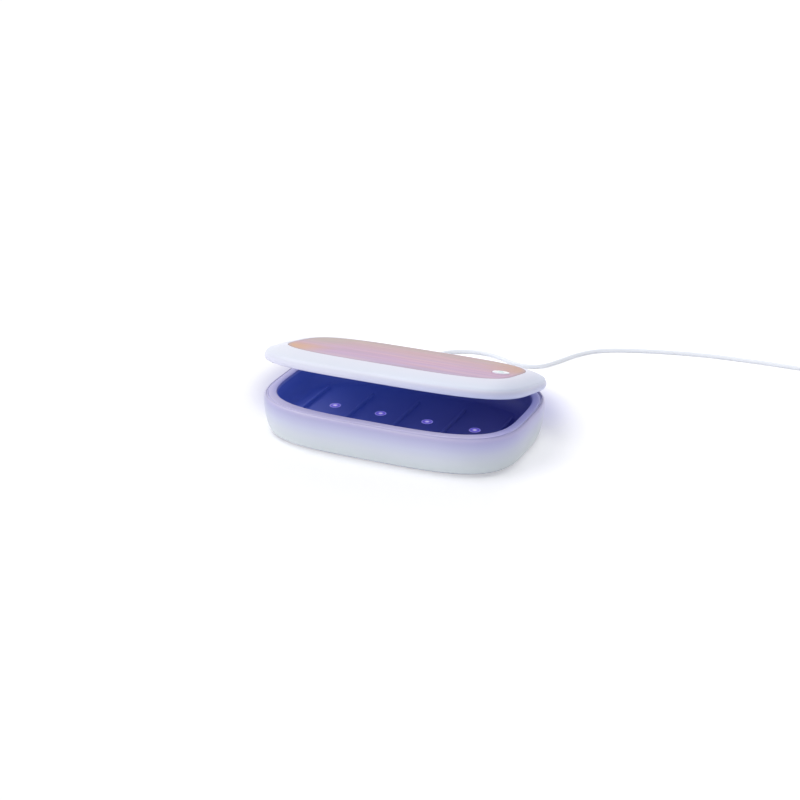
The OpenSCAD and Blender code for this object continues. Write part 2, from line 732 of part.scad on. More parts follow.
// Coiled stretch: straight start, spiral in, climb, spiral out, tail down to the plug
function coil_point(a) = let (
    r = coil_r - coil_pitch * (coil_half - abs(a - coil_half)) / 360,
    z = coil_low + coil_climb * smooth((a - coil_half + 90) / 180))
    [coil_at[0] + r * cos(90 - a), coil_at[1] + r * sin(90 - a), z];
coil_turns = round(coil_loops * coil_per_loop);
coil_arc = [for (i = [0:coil_turns]) coil_point(360 * coil_loops * i / coil_turns)];
coil_tail = [for (i = [1:5]) [far_start[0], coil_at[1] - tail_len * i / 5,
    coil_low + coil_climb + (tail_low - coil_low - coil_climb) * smooth(i / 5)]];
coil_path = concat([lead_end], coil_arc, coil_tail, [far_start]);
module cord_coil() {
    n = len(coil_path) - 1;
    color([0.88, 0.88, 0.96]) skin([for (i = [0:n])
        tube_ring(coil_path[i], i == 0 ? [1, 0, 0] : i == n ? [0, -1, 0] : heading(coil_path, i),
            cord_r, coil_sides)]);
}
// Least gap of the coil to itself, between points that lie over half a loop apart
coil_gap = min([for (i = [0:len(coil_path) - 1], j = [i + coil_per_loop / 2:1:len(coil_path) - 1])
    norm(coil_path[i] - coil_path[j])]) - cord_d;
echo(coil_gap = coil_gap, lead = path_len(lead_path), coil = path_len(coil_path));

// Soft strap snug round the coil's turns, with the round stud that closes it
module cord_tie() {
    high = coil_low + coil_climb + cord_r + 0.1;
    x0 = tie_in - cord_r - 0.6;
    x1 = tie_out + cord_r + 0.4;
    x2 = x0 - tie_t;
    x3 = x1 + tie_t;
    top = high + tie_t;
    color([0.86, 0.87, 0.93]) translate([coil_at[0], coil_at[1], 0]) rotate([0, 0, 90 - tie_turn]) {
        translate([0, tie_w / 2, 0]) rotate([90, 0, 0]) linear_extrude(tie_w) difference() {
            polygon([[x2 + 1, 0], [x3 - 1, 0], [x3, 1], [x3, top - 1], [x3 - 1, top],
                [x2 + 1, top], [x2, top - 1], [x2, 1]]);
            polygon([[x0 + 0.8, tie_t], [x1 - 0.8, tie_t], [x1, tie_t + 0.8], [x1, high - 0.8],
                [x1 - 0.8, high], [x0 + 0.8, high], [x0, high - 0.8], [x0, tie_t + 0.8]]);
        }
        rod([(x0 + x1) / 2, 0], 1.7, top - eps, top + 0.7);
    }
}

// Moulded far plug, lying on the surface
module far_plug() {
    edge = 1.6;
    y0 = far_start[1] - relief_len;
    color([0.9, 0.9, 0.96]) {
        translate([far_start[0], far_start[1], tail_low]) rotate([90, 0, 0])
            cylinder(r1 = cord_r + 0.4, r2 = 3, h = relief_len);
        translate([far_start[0], y0 - far_len, tail_low]) {
            translate([-far_w / 2, 0, edge - far_h / 2]) cube([far_w, far_len, far_h - 2 * edge]);
            translate([edge - far_w / 2, 0, -far_h / 2]) cube([far_w - 2 * edge, far_len, far_h]);
            for (x = [-1, 1], z = [-1, 1])
                translate([x * (far_w / 2 - edge), 0, z * (far_h / 2 - edge)]) rotate([-90, 0, 0])
                    cylinder(r = edge, h = far_len);
        }
    }
}

// Square metal nose of the far plug, with its two latch windows and tongue
module far_plug_shell() {
    y1 = far_start[1] - relief_len - far_len;
    wall = 0.4;
    color([0.78, 0.78, 0.8]) translate([far_start[0], y1 - far_shell_len, tail_low]) {
        difference() {
            translate([-far_shell_w / 2, 0, -far_shell_h / 2])
                cube([far_shell_w, far_shell_len, far_shell_h]);
            translate([wall - far_shell_w / 2, -eps, wall - far_shell_h / 2])
                cube([far_shell_w - 2 * wall, far_shell_len - 4, far_shell_h - 2 * wall]);
            for (x = [-1, 1]) translate([x * 3 - 1.1, 6, 0]) cube([2.2, 2.5, far_shell_h]);
        }
        translate([wall - far_shell_w / 2 + eps, 3, -far_shell_h / 2 + wall - eps])
            cube([far_shell_w - 2 * wall - 2 * eps, far_shell_len - 4, 1.8]);
    }
}

base_shell();
inner_tray();
base_cover();
rubber_feet();
cover_screws();
rim_seal();
base_lamp_board();
base_uv_lamps();
base_lamp_windows();
main_board();
usb_socket();
base_board_screws();
lid_sensor();
hinge_pin();
lid_shell();
lid_panel();
lid_liner();
liner_screws();
hinge_bushes();
lid_lamp_boards();
lid_uv_lamps();
lid_lamp_windows();
button_board();
button_switch();
lid_board_screws();
lid_magnet();
power_button();
button_lens();
box_plug();
box_plug_shell();
cord_lead();
cord_coil();
far_plug();
far_plug_shell();
cord_tie();
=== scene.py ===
"""Looks of a uv sanitizer box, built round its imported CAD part.

The housings, tray, panel, liner, seal, button, windows, plugs and cord are remade
smooth and dense where the CAD solids lie. The boards, lamps, screws, pin, bushes,
switch, sensor and magnet inside are the CAD's own, with finishes of their own.
Sizes of pieces are in millimetres as in the part's source. Meshes, and the places that
the finishes speak of, are in metres.
"""

import logging
import math
from abc import ABC, abstractmethod
from dataclasses import dataclass, field
from enum import Enum
from typing import Iterable, Protocol, Sequence

import bmesh
import bpy
import numpy as np
from mathutils import Matrix, Vector


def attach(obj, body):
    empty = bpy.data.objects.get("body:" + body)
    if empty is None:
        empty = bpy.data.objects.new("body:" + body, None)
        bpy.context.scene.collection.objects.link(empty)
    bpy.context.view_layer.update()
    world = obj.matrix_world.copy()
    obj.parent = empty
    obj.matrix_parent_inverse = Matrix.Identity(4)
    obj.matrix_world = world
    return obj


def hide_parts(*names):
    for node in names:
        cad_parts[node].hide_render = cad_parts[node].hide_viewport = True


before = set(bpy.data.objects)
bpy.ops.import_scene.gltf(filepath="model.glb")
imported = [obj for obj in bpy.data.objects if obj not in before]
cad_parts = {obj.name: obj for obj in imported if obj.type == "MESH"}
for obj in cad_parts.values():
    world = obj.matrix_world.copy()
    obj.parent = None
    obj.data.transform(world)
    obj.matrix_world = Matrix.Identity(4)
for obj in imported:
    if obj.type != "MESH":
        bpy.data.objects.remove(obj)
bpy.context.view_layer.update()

log = logging.getLogger("uv_box")

MM = 0.001
TINY = 1e-6
WELD = 1e-7  # corners nearer than this become one, in metres
STRAIGHT = 0.95  # cosine of the least turn that counts as a corner, some 18 degrees
ROOM = 0.45  # how much of the line beside a corner its rounding may take
HANDLE = 6  # a handle is this part of the way between the points on its two sides
BOX_OUTLINE = (0.1075, 0.0685, 3.5)  # half length and half width in metres, and squareness

Row = tuple[float, float, float, float]
Point = tuple[float, float, float]
Spot = tuple[float, float]
Colour = tuple[float, float, float, float]
Stops = tuple[tuple[float, Colour], ...]
Piece = bpy.types.Object
Socket = bpy.types.NodeSocket
Material = bpy.types.Material


def paint(red: int, green: int, blue: int) -> Colour:
    """Turns a screen colour into the linear one that a shader takes.

    Args:
        red: red from 0 to 255.
        green: green from 0 to 255.
        blue: blue from 0 to 255.

    Returns:
        The linear colour with full alpha.
    """
    def linear(value: int) -> float:
        """Gives one channel in linear light."""
        share = value / 255
        return share / 12.92 if share <= 0.04045 else ((share + 0.055) / 1.055) ** 2.4

    return (linear(red), linear(green), linear(blue), 1.0)


def outline(half_x: float, half_y: float, square: float, steps: int) -> np.ndarray:
    """Gives points round a rectangle with rounded sides and corners.

    Args:
        half_x: half its width.
        half_y: half its height.
        square: how square it is, from 2 for an oval.
        steps: how many points to give.

    Returns:
        The points, one per line.
    """
    turn = np.linspace(0, 2 * math.pi, steps, endpoint=False)
    c, s = np.cos(turn), np.sin(turn)
    k = (np.abs(c) ** square + np.abs(s) ** square) ** (-1 / square)
    return np.column_stack([half_x * k * c, half_y * k * s])


class Body(Enum):
    """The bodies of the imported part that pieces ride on."""

    BASE = "base"
    LID = "lid"
    BUTTON = "button"


class Cut(Enum):
    """What a tool shape does to a piece."""

    AWAY = "DIFFERENCE"
    ONTO = "UNION"


class Axis(Enum):
    """An axis of a piece's own coordinates."""

    X = "X"
    Y = "Y"
    Z = "Z"


@dataclass(frozen=True)
class BoxSizes:
    """Sizes that more than one part of the box needs."""

    body_len: float = 215.0
    body_wid: float = 137.0
    squareness: float = 3.5
    panel_square: float = 3.6
    foot_gap: float = 1.2
    widest_z: float = 28.3
    rim_z: float = 32.0
    tuck: float = 5.8
    tuck_power: float = 1.8
    lid_open: float = 14.1
    hinge_y: float = 67.7
    hinge_z: float = 33.2
    knuckle_len: float = 46.0
    knuckle_r: float = 3.0
    ear_len: float = 7.0
    hinge_gap: float = 0.3
    move_gap: float = 0.5
    pin_r: float = 1.25
    seat_gap: float = 0.2
    window_r: float = 4.5
    window_gap: float = 0.1
    screw_r: float = 1.5
    tap_r: float = 1.35
    small_tap_r: float = 0.95
    small_post_r: float = 2.5
    button_at: Spot = (79.5, -3.0)
    button_r: float = 6.8
    socket_x: float = -44.0
    socket_z: float = 8.4
    around: int = 320

    @property
    def hinge_half(self) -> float:
        """Half the length of the hinge pin."""
        return self.knuckle_len / 2 + self.hinge_gap + self.ear_len

    def tuck_at(self, height: float) -> float:
        """Gives how far the bowed wall is drawn in at a height.

        Args:
            height: height above the table.

        Returns:
            The draw from the widest line.
        """
        share = max(0.0, (self.widest_z - height) / (self.widest_z - self.foot_gap))
        left = max(0.0, 1 - share**self.tuck_power)
        return self.tuck * (1 - left ** (1 / self.tuck_power))

    def ring(self, row: Row) -> np.ndarray:
        """Lays one row of a profile round the box.

        Args:
            row: draw at the ends, draw at the sides, height and squareness.

        Returns:
            The ring's points, one per line.
        """
        ends, sides, height, square = row
        ring = outline(self.body_len / 2 - ends, self.body_wid / 2 - sides, square, self.around)
        return np.column_stack([ring, np.full(self.around, height)])

    def lid_place(self) -> Matrix:
        """Gives the swing that takes the closed lid to where it stands ajar.

        Returns:
            The swing about the hinge.
        """
        hinge = Vector((0, self.hinge_y, self.hinge_z)) * MM
        turn = Matrix.Rotation(math.radians(-self.lid_open), 4, "X")
        return Matrix.Translation(hinge) @ turn @ Matrix.Translation(-hinge)


@dataclass
class Profile:
    """Rows that a piece is swept from, joined in the order they are drawn."""

    square: float = 3.5
    rows: list[Row] = field(default_factory=list)

    def to(self, draw: float, height: float, side: float | None = None) -> "Profile":
        """Goes straight to a corner, drawn in as far at the sides unless side says otherwise."""
        self.rows.append((draw, draw if side is None else side, height, self.square))
        return self

    def along(self, rows: Sequence[Row], steps: int = 6) -> "Profile":
        """Goes on a smooth curve through rows, in so many steps from one to the next."""
        self.rows.extend(tuple(p) for p in smooth_line(rows, steps))
        return self

    def rings(self, sizes: BoxSizes, radius: float, looped: bool) -> list[np.ndarray]:
        """Rounds the corners and lays every row round the box, one array of points per row."""
        return [sizes.ring(row) for row in eased(self.rows, radius, looped, (0, 2))]


def smooth_line(points: Sequence[Sequence[float]], steps: int) -> list[np.ndarray]:
    """Runs a smooth curve through points.

    Args:
        points: the points, of any number of values each.
        steps: how many points to give from one to the next.

    Returns:
        The curve's points, both ends included.
    """
    p = [np.array(v, float) for v in points]
    p = [2 * p[0] - p[1], *p, 2 * p[-1] - p[-2]]
    line = []
    for a, b, c, d in zip(p, p[1:], p[2:], p[3:]):
        for step in range(steps):
            u = step / steps
            line.append(0.5 * (2 * b + (c - a) * u + (2 * a - 5 * b + 4 * c - d) * u * u
                               + (3 * b - a - 3 * c + d) * u**3))
    return [*line, p[-2]]


def eased(points: Sequence[Sequence[float]], radius: float, looped: bool,
          plane: tuple[int, int] = (0, 1)) -> list[tuple[float, ...]]:
    """Rounds each corner of a line that turns by more than some 18 degrees.

    Args:
        points: the line's points.
        radius: how far from a corner its rounding starts, where there is room.
        looped: whether the last point joins the first.
        plane: the two values of a point in which a turn is measured.

    Returns:
        The line with rounded corners.
    """
    line = [np.array(p, float) for p in points]
    made: list[tuple[float, ...]] = []
    for i, here in enumerate(line):
        if not looped and i in (0, len(line) - 1):
            made.append(tuple(here))
            continue
        back, on = line[i - 1] - here, line[(i + 1) % len(line)] - here
        long_back = float(np.linalg.norm(back[list(plane)]))
        long_on = float(np.linalg.norm(on[list(plane)]))
        if min(long_back, long_on) < TINY:
            continue
        straight = -float(back[list(plane)] @ on[list(plane)]) / (long_back * long_on)
        if straight > STRAIGHT:
            made.append(tuple(here))
            continue
        reach = min(radius, ROOM * long_back, ROOM * long_on)
        start, end = here + back / long_back * reach, here + on / long_on * reach
        for u in (0, 0.25, 0.5, 0.75, 1):
            made.append(tuple((1 - u) ** 2 * start + 2 * u * (1 - u) * here + u * u * end))
    return made


class Bench:
    """Makes and changes meshes. Points go in as millimetres."""

    @staticmethod
    def place(name: str, data: bpy.types.ID) -> Piece:
        """Puts new data into the scene.

        Args:
            name: the object's name.
            data: its mesh, curve, camera or light.

        Returns:
            The new object.
        """
        made = bpy.data.objects.new(name, data)
        bpy.context.scene.collection.objects.link(made)
        return made

    @staticmethod
    def piece(name: str, points: np.ndarray, faces: Sequence[Sequence[int]]) -> Piece:
        """Makes an object from points and faces, with its faces turned outward.

        Args:
            name: the object's name.
            points: corners, one per line.
            faces: corner numbers of each face.

        Returns:
            The new object, in the scene.
        """
        mesh = bpy.data.meshes.new(name)
        mesh.from_pydata((np.asarray(points, float) * MM).tolist(), [], [list(f) for f in faces])
        work = bmesh.new()
        work.from_mesh(mesh)
        bmesh.ops.remove_doubles(work, verts=work.verts, dist=WELD)
        bmesh.ops.recalc_face_normals(work, faces=work.faces)
        work.to_mesh(mesh)
        work.free()
        return Bench.place(name, mesh)

    @staticmethod
    def loft(name: str, rings: Sequence[np.ndarray], looped: bool) -> Piece:
        """Skins rings of points, in a loop or with two flat ends.

        Args:
            name: the object's name.
            rings: rings of as many points each.
            looped: whether the last ring joins the first.

        Returns:
            The closed piece.
        """
        n, m = len(rings[0]), len(rings)
        faces: list[list[int]] = []
        for k in range(m if looped else m - 1):
            up = (k + 1) % m
            faces += [[k * n + i, k * n + (i + 1) % n, up * n + (i + 1) % n, up * n + i]
                      for i in range(n)]
        if not looped:
            faces += [list(range(n))[::-1], list(range((m - 1) * n, m * n))]
        return Bench.piece(name, np.vstack(rings), faces)

    @staticmethod
    def lathe(name: str, line: Sequence[Spot], at: Spot = (0, 0), ease: float = 0.0,
              steps: int = 64) -> Piece:
        """Turns a line about an upright axis.

        Args:
            name: the object's name.
            line: radius and height of each corner, from the axis back to the axis.
            at: where the axis stands.
            ease: how far from a corner its rounding starts.
            steps: points round the axis.

        Returns:
            The closed piece.
        """
        corners = eased(line, ease, False) if ease else [tuple(p) for p in line]
        turn = np.linspace(0, 2 * math.pi, steps, endpoint=False)
        points: list[np.ndarray] = []
        marks: list[list[int]] = []
        for r, z in corners:
            start = len(points)
            if r < TINY:
                points.append(np.array([at[0], at[1], z]))
                marks.append([start] * steps)
                continue
            points += [np.array([at[0] + r * math.cos(t), at[1] + r * math.sin(t), z])
                       for t in turn]
            marks.append(list(range(start, start + steps)))
        faces = []
        for low, high in zip(marks, marks[1:]):
            for i in range(steps):
                j = (i + 1) % steps
                face = [low[i], low[j], high[j], high[i]]
                face = [v for k, v in enumerate(face) if v not in face[:k]]
                if len(face) > 2:
                    faces.append(face)
        return Bench.piece(name, np.array(points), faces)

    @staticmethod
    def rod(at: Spot, radius: float, low: float, high: float, ease: float = 0.0) -> Piece:
        """Makes an upright rod, which cuts a hole or stands as a post."""
        line = [(0, low), (radius, low), (radius, high), (0, high)]
        return Bench.lathe("rod", line, at, ease, steps=48)

    @staticmethod
    def disc(at: Spot, radius: float, low: float, high: float) -> Piece:
        """Makes a clear disc over a lamp, with eased edges."""
        line = [(0, low), (radius, low), (radius, high), (0, high)]
        return Bench.lathe("disc", line, at, ease=0.25, steps=72)

    @staticmethod
    def axle(sizes: BoxSizes, radius: float, start: float, end: float, ease: float = 0.0) -> Piece:
        """Makes a rod on the hinge axis.

        Args:
            sizes: the box's shared sizes.
            radius: its radius.
            start: where it starts along the box.
            end: where it ends.
            ease: how far from an edge its rounding starts.

        Returns:
            The rod.
        """
        made = Bench.rod((0, 0), radius, start, end, ease)
        made.data.transform(Matrix.Rotation(math.pi / 2, 4, "Y"))
        made.data.transform(Matrix.Translation(Vector((0, sizes.hinge_y, sizes.hinge_z)) * MM))
        return made

    @staticmethod
    def axles(sizes: BoxSizes, radius: float, near: float, far: float,
              ease: float = 0.0) -> list[Piece]:
        """Makes the same rod on the hinge axis at either side of the middle."""
        return [Bench.axle(sizes, radius, *sorted((side * near, side * far)), ease)
                for side in (-1, 1)]

    @staticmethod
    def block(low: Sequence[float], high: Sequence[float], ease: float = 0.0) -> Piece:
        """Makes a block with rounded edges.

        Args:
            low: its lowest corner.
            high: its highest corner.
            ease: the radius of its edges.

        Returns:
            The block.
        """
        corners = np.array([[x, y, z] for z in (low[2], high[2])
                            for x, y in ((low[0], low[1]), (high[0], low[1]),
                                         (high[0], high[1]), (low[0], high[1]))])
        faces = [(3, 2, 1, 0), (4, 5, 6, 7), (0, 1, 5, 4), (1, 2, 6, 5), (2, 3, 7, 6), (3, 0, 4, 7)]
        made = Bench.piece("block", corners, faces)
        if ease:
            round_off = made.modifiers.new("edges", "BEVEL")
            round_off.width = ease * MM
            round_off.segments = 3
            Bench.settle(made)
        return made

    @staticmethod
    def settle(made: Piece) -> None:
        """Applies a piece's modifiers to its mesh.

        Args:
            made: the piece.
        """
        bpy.context.view_layer.update()
        seen = made.evaluated_get(bpy.context.evaluated_depsgraph_get())
        fresh, old = bpy.data.meshes.new_from_object(seen), made.data
        made.modifiers.clear()
        made.data = fresh
        bpy.data.meshes.remove(old)

    @staticmethod
    def gather(parts: Iterable[Piece]) -> Piece:
        """Joins pieces that stand clear of each other into one.

        Args:
            parts: the pieces, which are used up.

        Returns:
            The joined piece.
        """
        parts = list(parts)
        work = bmesh.new()
        for part in parts:
            work.from_mesh(part.data)
        work.to_mesh(parts[0].data)
        work.free()
        for part in parts[1:]:
            bpy.data.objects.remove(part)
        return parts[0]

    @staticmethod
    def change(made: Piece, tools: Iterable[Piece], how: Cut) -> Piece:
        """Cuts tools away from a piece or joins them onto it.

        Args:
            made: the piece.
            tools: shapes that stand clear of each other, which are used up.
            how: what they do.

        Returns:
            The piece itself.
        """
        tool = Bench.gather(tools)
        step = made.modifiers.new("cut", "BOOLEAN")
        step.operation = how.value
        step.solver = "MANIFOLD"
        step.object = tool
        Bench.settle(made)
        bpy.data.objects.remove(tool)
        return made

    @staticmethod
    def polish(made: Piece, angle: float = 32.0) -> Piece:
        """Shades a piece smooth, with sharp lines only where faces meet steeply.

        Args:
            made: the piece.
            angle: the least angle of a sharp line, in degrees.

        Returns:
            The piece itself.
        """
        mesh = made.data
        mesh.polygons.foreach_set("use_smooth", [True] * len(mesh.polygons))
        mesh.set_sharp_from_angle(angle=math.radians(angle))
        even = made.modifiers.new("even", "WEIGHTED_NORMAL")
        even.keep_sharp = True
        Bench.settle(made)
        return made


@dataclass(frozen=True)
class Veil:
    """A second colour that comes in, as some value runs from one limit to another."""

    low: float
    high: float
    part: float
    tint: Colour


@dataclass(frozen=True)
class Touch:
    """How a pattern is felt on a surface: least roughness and its spread, and the relief."""

    rough: float
    spread: float
    strength: float
    deep: float


class Recipe:
    """The node tree of one finish, laid down node by node."""

    SHARE, FIRST, SECOND, MIXED = 0, 6, 7, 2  # sockets of a node that mixes two colours

    def __init__(self, name: str) -> None:
        """Starts the finish.

        Args:
            name: the material's name.
        """
        self.material = bpy.data.materials.new(name)
        self.material.use_nodes = True
        self.tree = self.material.node_tree
        self.shader = self.tree.nodes["Principled BSDF"]
        self.place = self.add("ShaderNodeTexCoord").outputs["Object"]

    def add(self, kind: str, **settings: object) -> bpy.types.Node:
        """Adds a node.

        Args:
            kind: Blender's name of the node.
            **settings: values of the node's own fields.

        Returns:
            The node.
        """
        node = self.tree.nodes.new(kind)
        for key, value in settings.items():
            setattr(node, key, value)
        return node

    def feed(self, target: Socket, value: object) -> None:
        """Links a socket into another, or sets it to a value.

        Args:
            target: the socket that takes it.
            value: an output socket, a number or a colour.
        """
        if isinstance(value, bpy.types.NodeSocket):
            self.tree.links.new(value, target)
        else:
            target.default_value = value

    def put(self, **values: object) -> None:
        """Sets the shader's sockets to values or output sockets, with _ for a space."""
        for key, value in values.items():
            self.feed(self.shader.inputs[key.replace("_", " ")], value)

    def math(self, kind: str, a: object, b: object = 0.0) -> Socket:
        """Works out one sum.

        Args:
            kind: Blender's name of the operation.
            a: the first number or socket.
            b: the second.

        Returns:
            The result.
        """
        node = self.add("ShaderNodeMath", operation=kind)
        self.feed(node.inputs[0], a)
        self.feed(node.inputs[1], b)
        return node.outputs[0]

    def vary(self, least: object, pattern: Socket, spread: float) -> Socket:
        """Gives a value that rises by a spread from the least as a pattern goes from 0 to 1."""
        return self.math("ADD", least, self.math("MULTIPLY", pattern, spread))

    def spot(self, axis: Axis) -> Socket:
        """Gives the place on one axis, in metres.

        Args:
            axis: the axis.

        Returns:
            The coordinate.
        """
        node = self.add("ShaderNodeSeparateXYZ")
        self.feed(node.inputs[0], self.place)
        return node.outputs[axis.value]

    def share(self, value: Socket, low: float, high: float, soft: bool = True) -> Socket:
        """Turns a value into a share of the way between two others.

        Args:
            value: the value.
            low: where the share is 0.
            high: where it is 1.
            soft: whether it starts and ends gently.

        Returns:
            The share, from 0 to 1.
        """
        kind = "SMOOTHSTEP" if soft else "LINEAR"
        node = self.add("ShaderNodeMapRange", interpolation_type=kind)
        self.feed(node.inputs["Value"], value)
        node.inputs["From Min"].default_value = low
        node.inputs["From Max"].default_value = high
        return node.outputs[0]

    def turned(self, scale: Sequence[float], degrees: float = 0.0) -> Socket:
        """Gives the piece's coordinates scaled, and turned about its length.

        Args:
            scale: the scale along each axis.
            degrees: the turn.

        Returns:
            The coordinates.
        """
        node = self.add("ShaderNodeMapping")
        self.feed(node.inputs["Vector"], self.place)
        node.inputs["Rotation"].default_value = (math.radians(degrees), 0, 0)
        node.inputs["Scale"].default_value = tuple(scale)
        return node.outputs[0]

    def noise(self, scale: float, detail: float, place: Socket | None = None) -> Socket:
        """Adds a soft random pattern.

        Args:
            scale: how many waves to the metre, about.
            detail: how many finer layers it has.
            place: coordinates other than the piece's own.

        Returns:
            The pattern, from 0 to 1.
        """
        node = self.add("ShaderNodeTexNoise")
        self.feed(node.inputs["Vector"], place or self.place)
        node.inputs["Scale"].default_value = scale
        node.inputs["Detail"].default_value = detail
        return node.outputs["Fac"]

    def blend(self, share: object, a: object, b: object) -> Socket:
        """Mixes two colours.

        Args:
            share: how much of the second, from 0 to 1.
            a: the first colour.
            b: the second.

        Returns:
            The mixed colour.
        """
        node = self.add("ShaderNodeMix", data_type="RGBA")
        self.feed(node.inputs[self.SHARE], share)
        self.feed(node.inputs[self.FIRST], a)
        self.feed(node.inputs[self.SECOND], b)
        return node.outputs[self.MIXED]

    def mist(self, colour: object, pattern: Socket, part: float, over: object) -> Socket:
        """Lays part of a second colour over a first, as thick as a pattern."""
        return self.blend(self.math("MULTIPLY", pattern, part), colour, over)

    def veil(self, colour: object, value: Socket, veil: Veil) -> Socket:
        """Lays a veil over a colour where a value has passed the veil's limits."""
        return self.mist(colour, self.share(value, veil.low, veil.high), veil.part, veil.tint)

    def ramp(self, share: Socket, stops: Stops) -> Socket:
        """Runs through colours.

        Args:
            share: where on the run, from 0 to 1.
            stops: places on the run and their colours, in order.

        Returns:
            The colour.
        """
        node = self.add("ShaderNodeValToRGB")
        marks = node.color_ramp.elements
        while len(marks) < len(stops):
            marks.new(1.0)
        for mark, (where, colour) in zip(marks, stops):
            mark.position = where
            mark.color = colour
        self.feed(node.inputs[0], share)
        return node.outputs[0]

    def rim_share(self, half_len: float, half_wid: float, square: float) -> Socket:
        """Tells how far out a point lies on the rounded outline, which is at 1.

        Args:
            half_len: half the outline's length, in metres.
            half_wid: half its width.
            square: its squareness.

        Returns:
            The share of the way out from the middle.
        """
        sides = []
        for axis, half in ((Axis.X, half_len), (Axis.Y, half_wid)):
            size = self.math("ABSOLUTE", self.math("DIVIDE", self.spot(axis), half))
            sides.append(self.math("POWER", size, square))
        return self.math("POWER", self.math("ADD", *sides), 1 / square)

    def bump(self, height: Socket, strength: float, deep: float) -> None:
        """Roughens the surface.

        Args:
            height: the pattern of the relief.
            strength: how much of it is felt.
            deep: its depth in metres.
        """
        node = self.add("ShaderNodeBump")
        node.inputs["Strength"].default_value = strength
        node.inputs["Distance"].default_value = deep
        self.feed(node.inputs["Height"], height)
        self.feed(self.shader.inputs["Normal"], node.outputs[0])

    def feel(self, pattern: Socket, touch: Touch) -> None:
        """Lets one pattern show in the roughness and in the relief."""
        self.put(Roughness=self.vary(touch.rough, pattern, touch.spread))
        self.bump(pattern, touch.strength, touch.deep)


class Finish(Protocol):
    """Anything that can be made into a material."""

    @property
    def name(self) -> str:
        """The material's name."""

    def make(self) -> Material:
        """Makes the material."""


@dataclass(frozen=True)
class MouldedPlastic:
    """Plain moulded plastic with a fine grain and slightly uneven colour."""

    name: str
    colour: Colour
    shade: Colour
    rough: float

    def make(self) -> Material:
        """Makes the material.

        Returns:
            The material.
        """
        sheet = Recipe(self.name)
        cloud = sheet.noise(scale=24.0, detail=3.0)
        sheet.put(Base_Color=sheet.blend(cloud, self.colour, self.shade))
        sheet.feel(sheet.noise(scale=1600.0, detail=1.0),
                   Touch(self.rough, spread=0.1, strength=0.25, deep=0.00004))
        return sheet.material


@dataclass(frozen=True)
class PearlWall:
    """Milky wall of the base, lilac under the rim and pale grey-green below, with painted shade at
    its foot and toward its right end.
    """

    name: str = "pearl_wall"
    top: float = 0.032
    drift: float = 0.0035
    stops: Stops = (
        (0.00, paint(234, 240, 246)), (0.16, paint(221, 229, 232)), (0.42, paint(219, 224, 236)),
        (0.62, paint(211, 215, 239)), (0.80, paint(196, 196, 233)), (0.89, paint(185, 184, 225)),
        (0.95, paint(185, 180, 222)), (0.985, paint(191, 184, 220)), (1.0, paint(187, 181, 218)))
    # painted shade: darker colours that the wall takes toward its right end, away from the key
    # light
    shaded_end_stops: Stops = (
        (0.0, paint(226, 233, 238)), (0.3, paint(195, 205, 207)), (0.6, paint(181, 187, 205)),
        (0.8, paint(166, 168, 216)), (0.92, paint(160, 158, 218)), (1.0, paint(168, 162, 218)))
    far_run: Spot = (0.050, 0.100)
    shaded_end_part: float = 0.48
    near_end: Veil = Veil(-0.084, -0.098, 0.26, paint(160, 164, 186))
    haze: Colour = paint(214, 217, 230)
    haze_part: float = 0.2
    # painted shade: the dark line at the foot stands in for the shade under the wall's drawn-in
    # lower edge
    foot: Veil = Veil(0.0028, 0.0019, 1.0, paint(146, 152, 176))

    def make(self) -> Material:
        """Makes the material.

        Returns:
            The material.
        """
        sheet = Recipe(self.name)
        height, along = sheet.spot(Axis.Z), sheet.spot(Axis.X)
        cloud = sheet.noise(scale=14.0, detail=3.0)
        shift = sheet.math("MULTIPLY", sheet.math("SUBTRACT", cloud, 0.5), self.drift)
        rise = sheet.share(sheet.math("ADD", height, shift), 0.0, self.top, soft=False)
        # painted shade toward the right end of the wall
        shaded_end = sheet.share(along, *self.far_run)
        run = sheet.mist(sheet.ramp(rise, self.stops), shaded_end, self.shaded_end_part,
                         sheet.ramp(rise, self.shaded_end_stops))
        run = sheet.veil(run, along, self.near_end)
        run = sheet.mist(run, cloud, self.haze_part, self.haze)
        # the foot veil paints shade along the bottom of the wall
        sheet.put(Base_Color=sheet.veil(run, height, self.foot), Subsurface_Weight=0.12,
                  Subsurface_Radius=(0.9, 0.9, 1.0), Subsurface_Scale=0.002,
                  Coat_Weight=0.25, Coat_Roughness=0.18)
        sheet.feel(sheet.noise(scale=1800.0, detail=1.0),
                   Touch(rough=0.30, spread=0.08, strength=0.2, deep=0.00003))
        return sheet.material


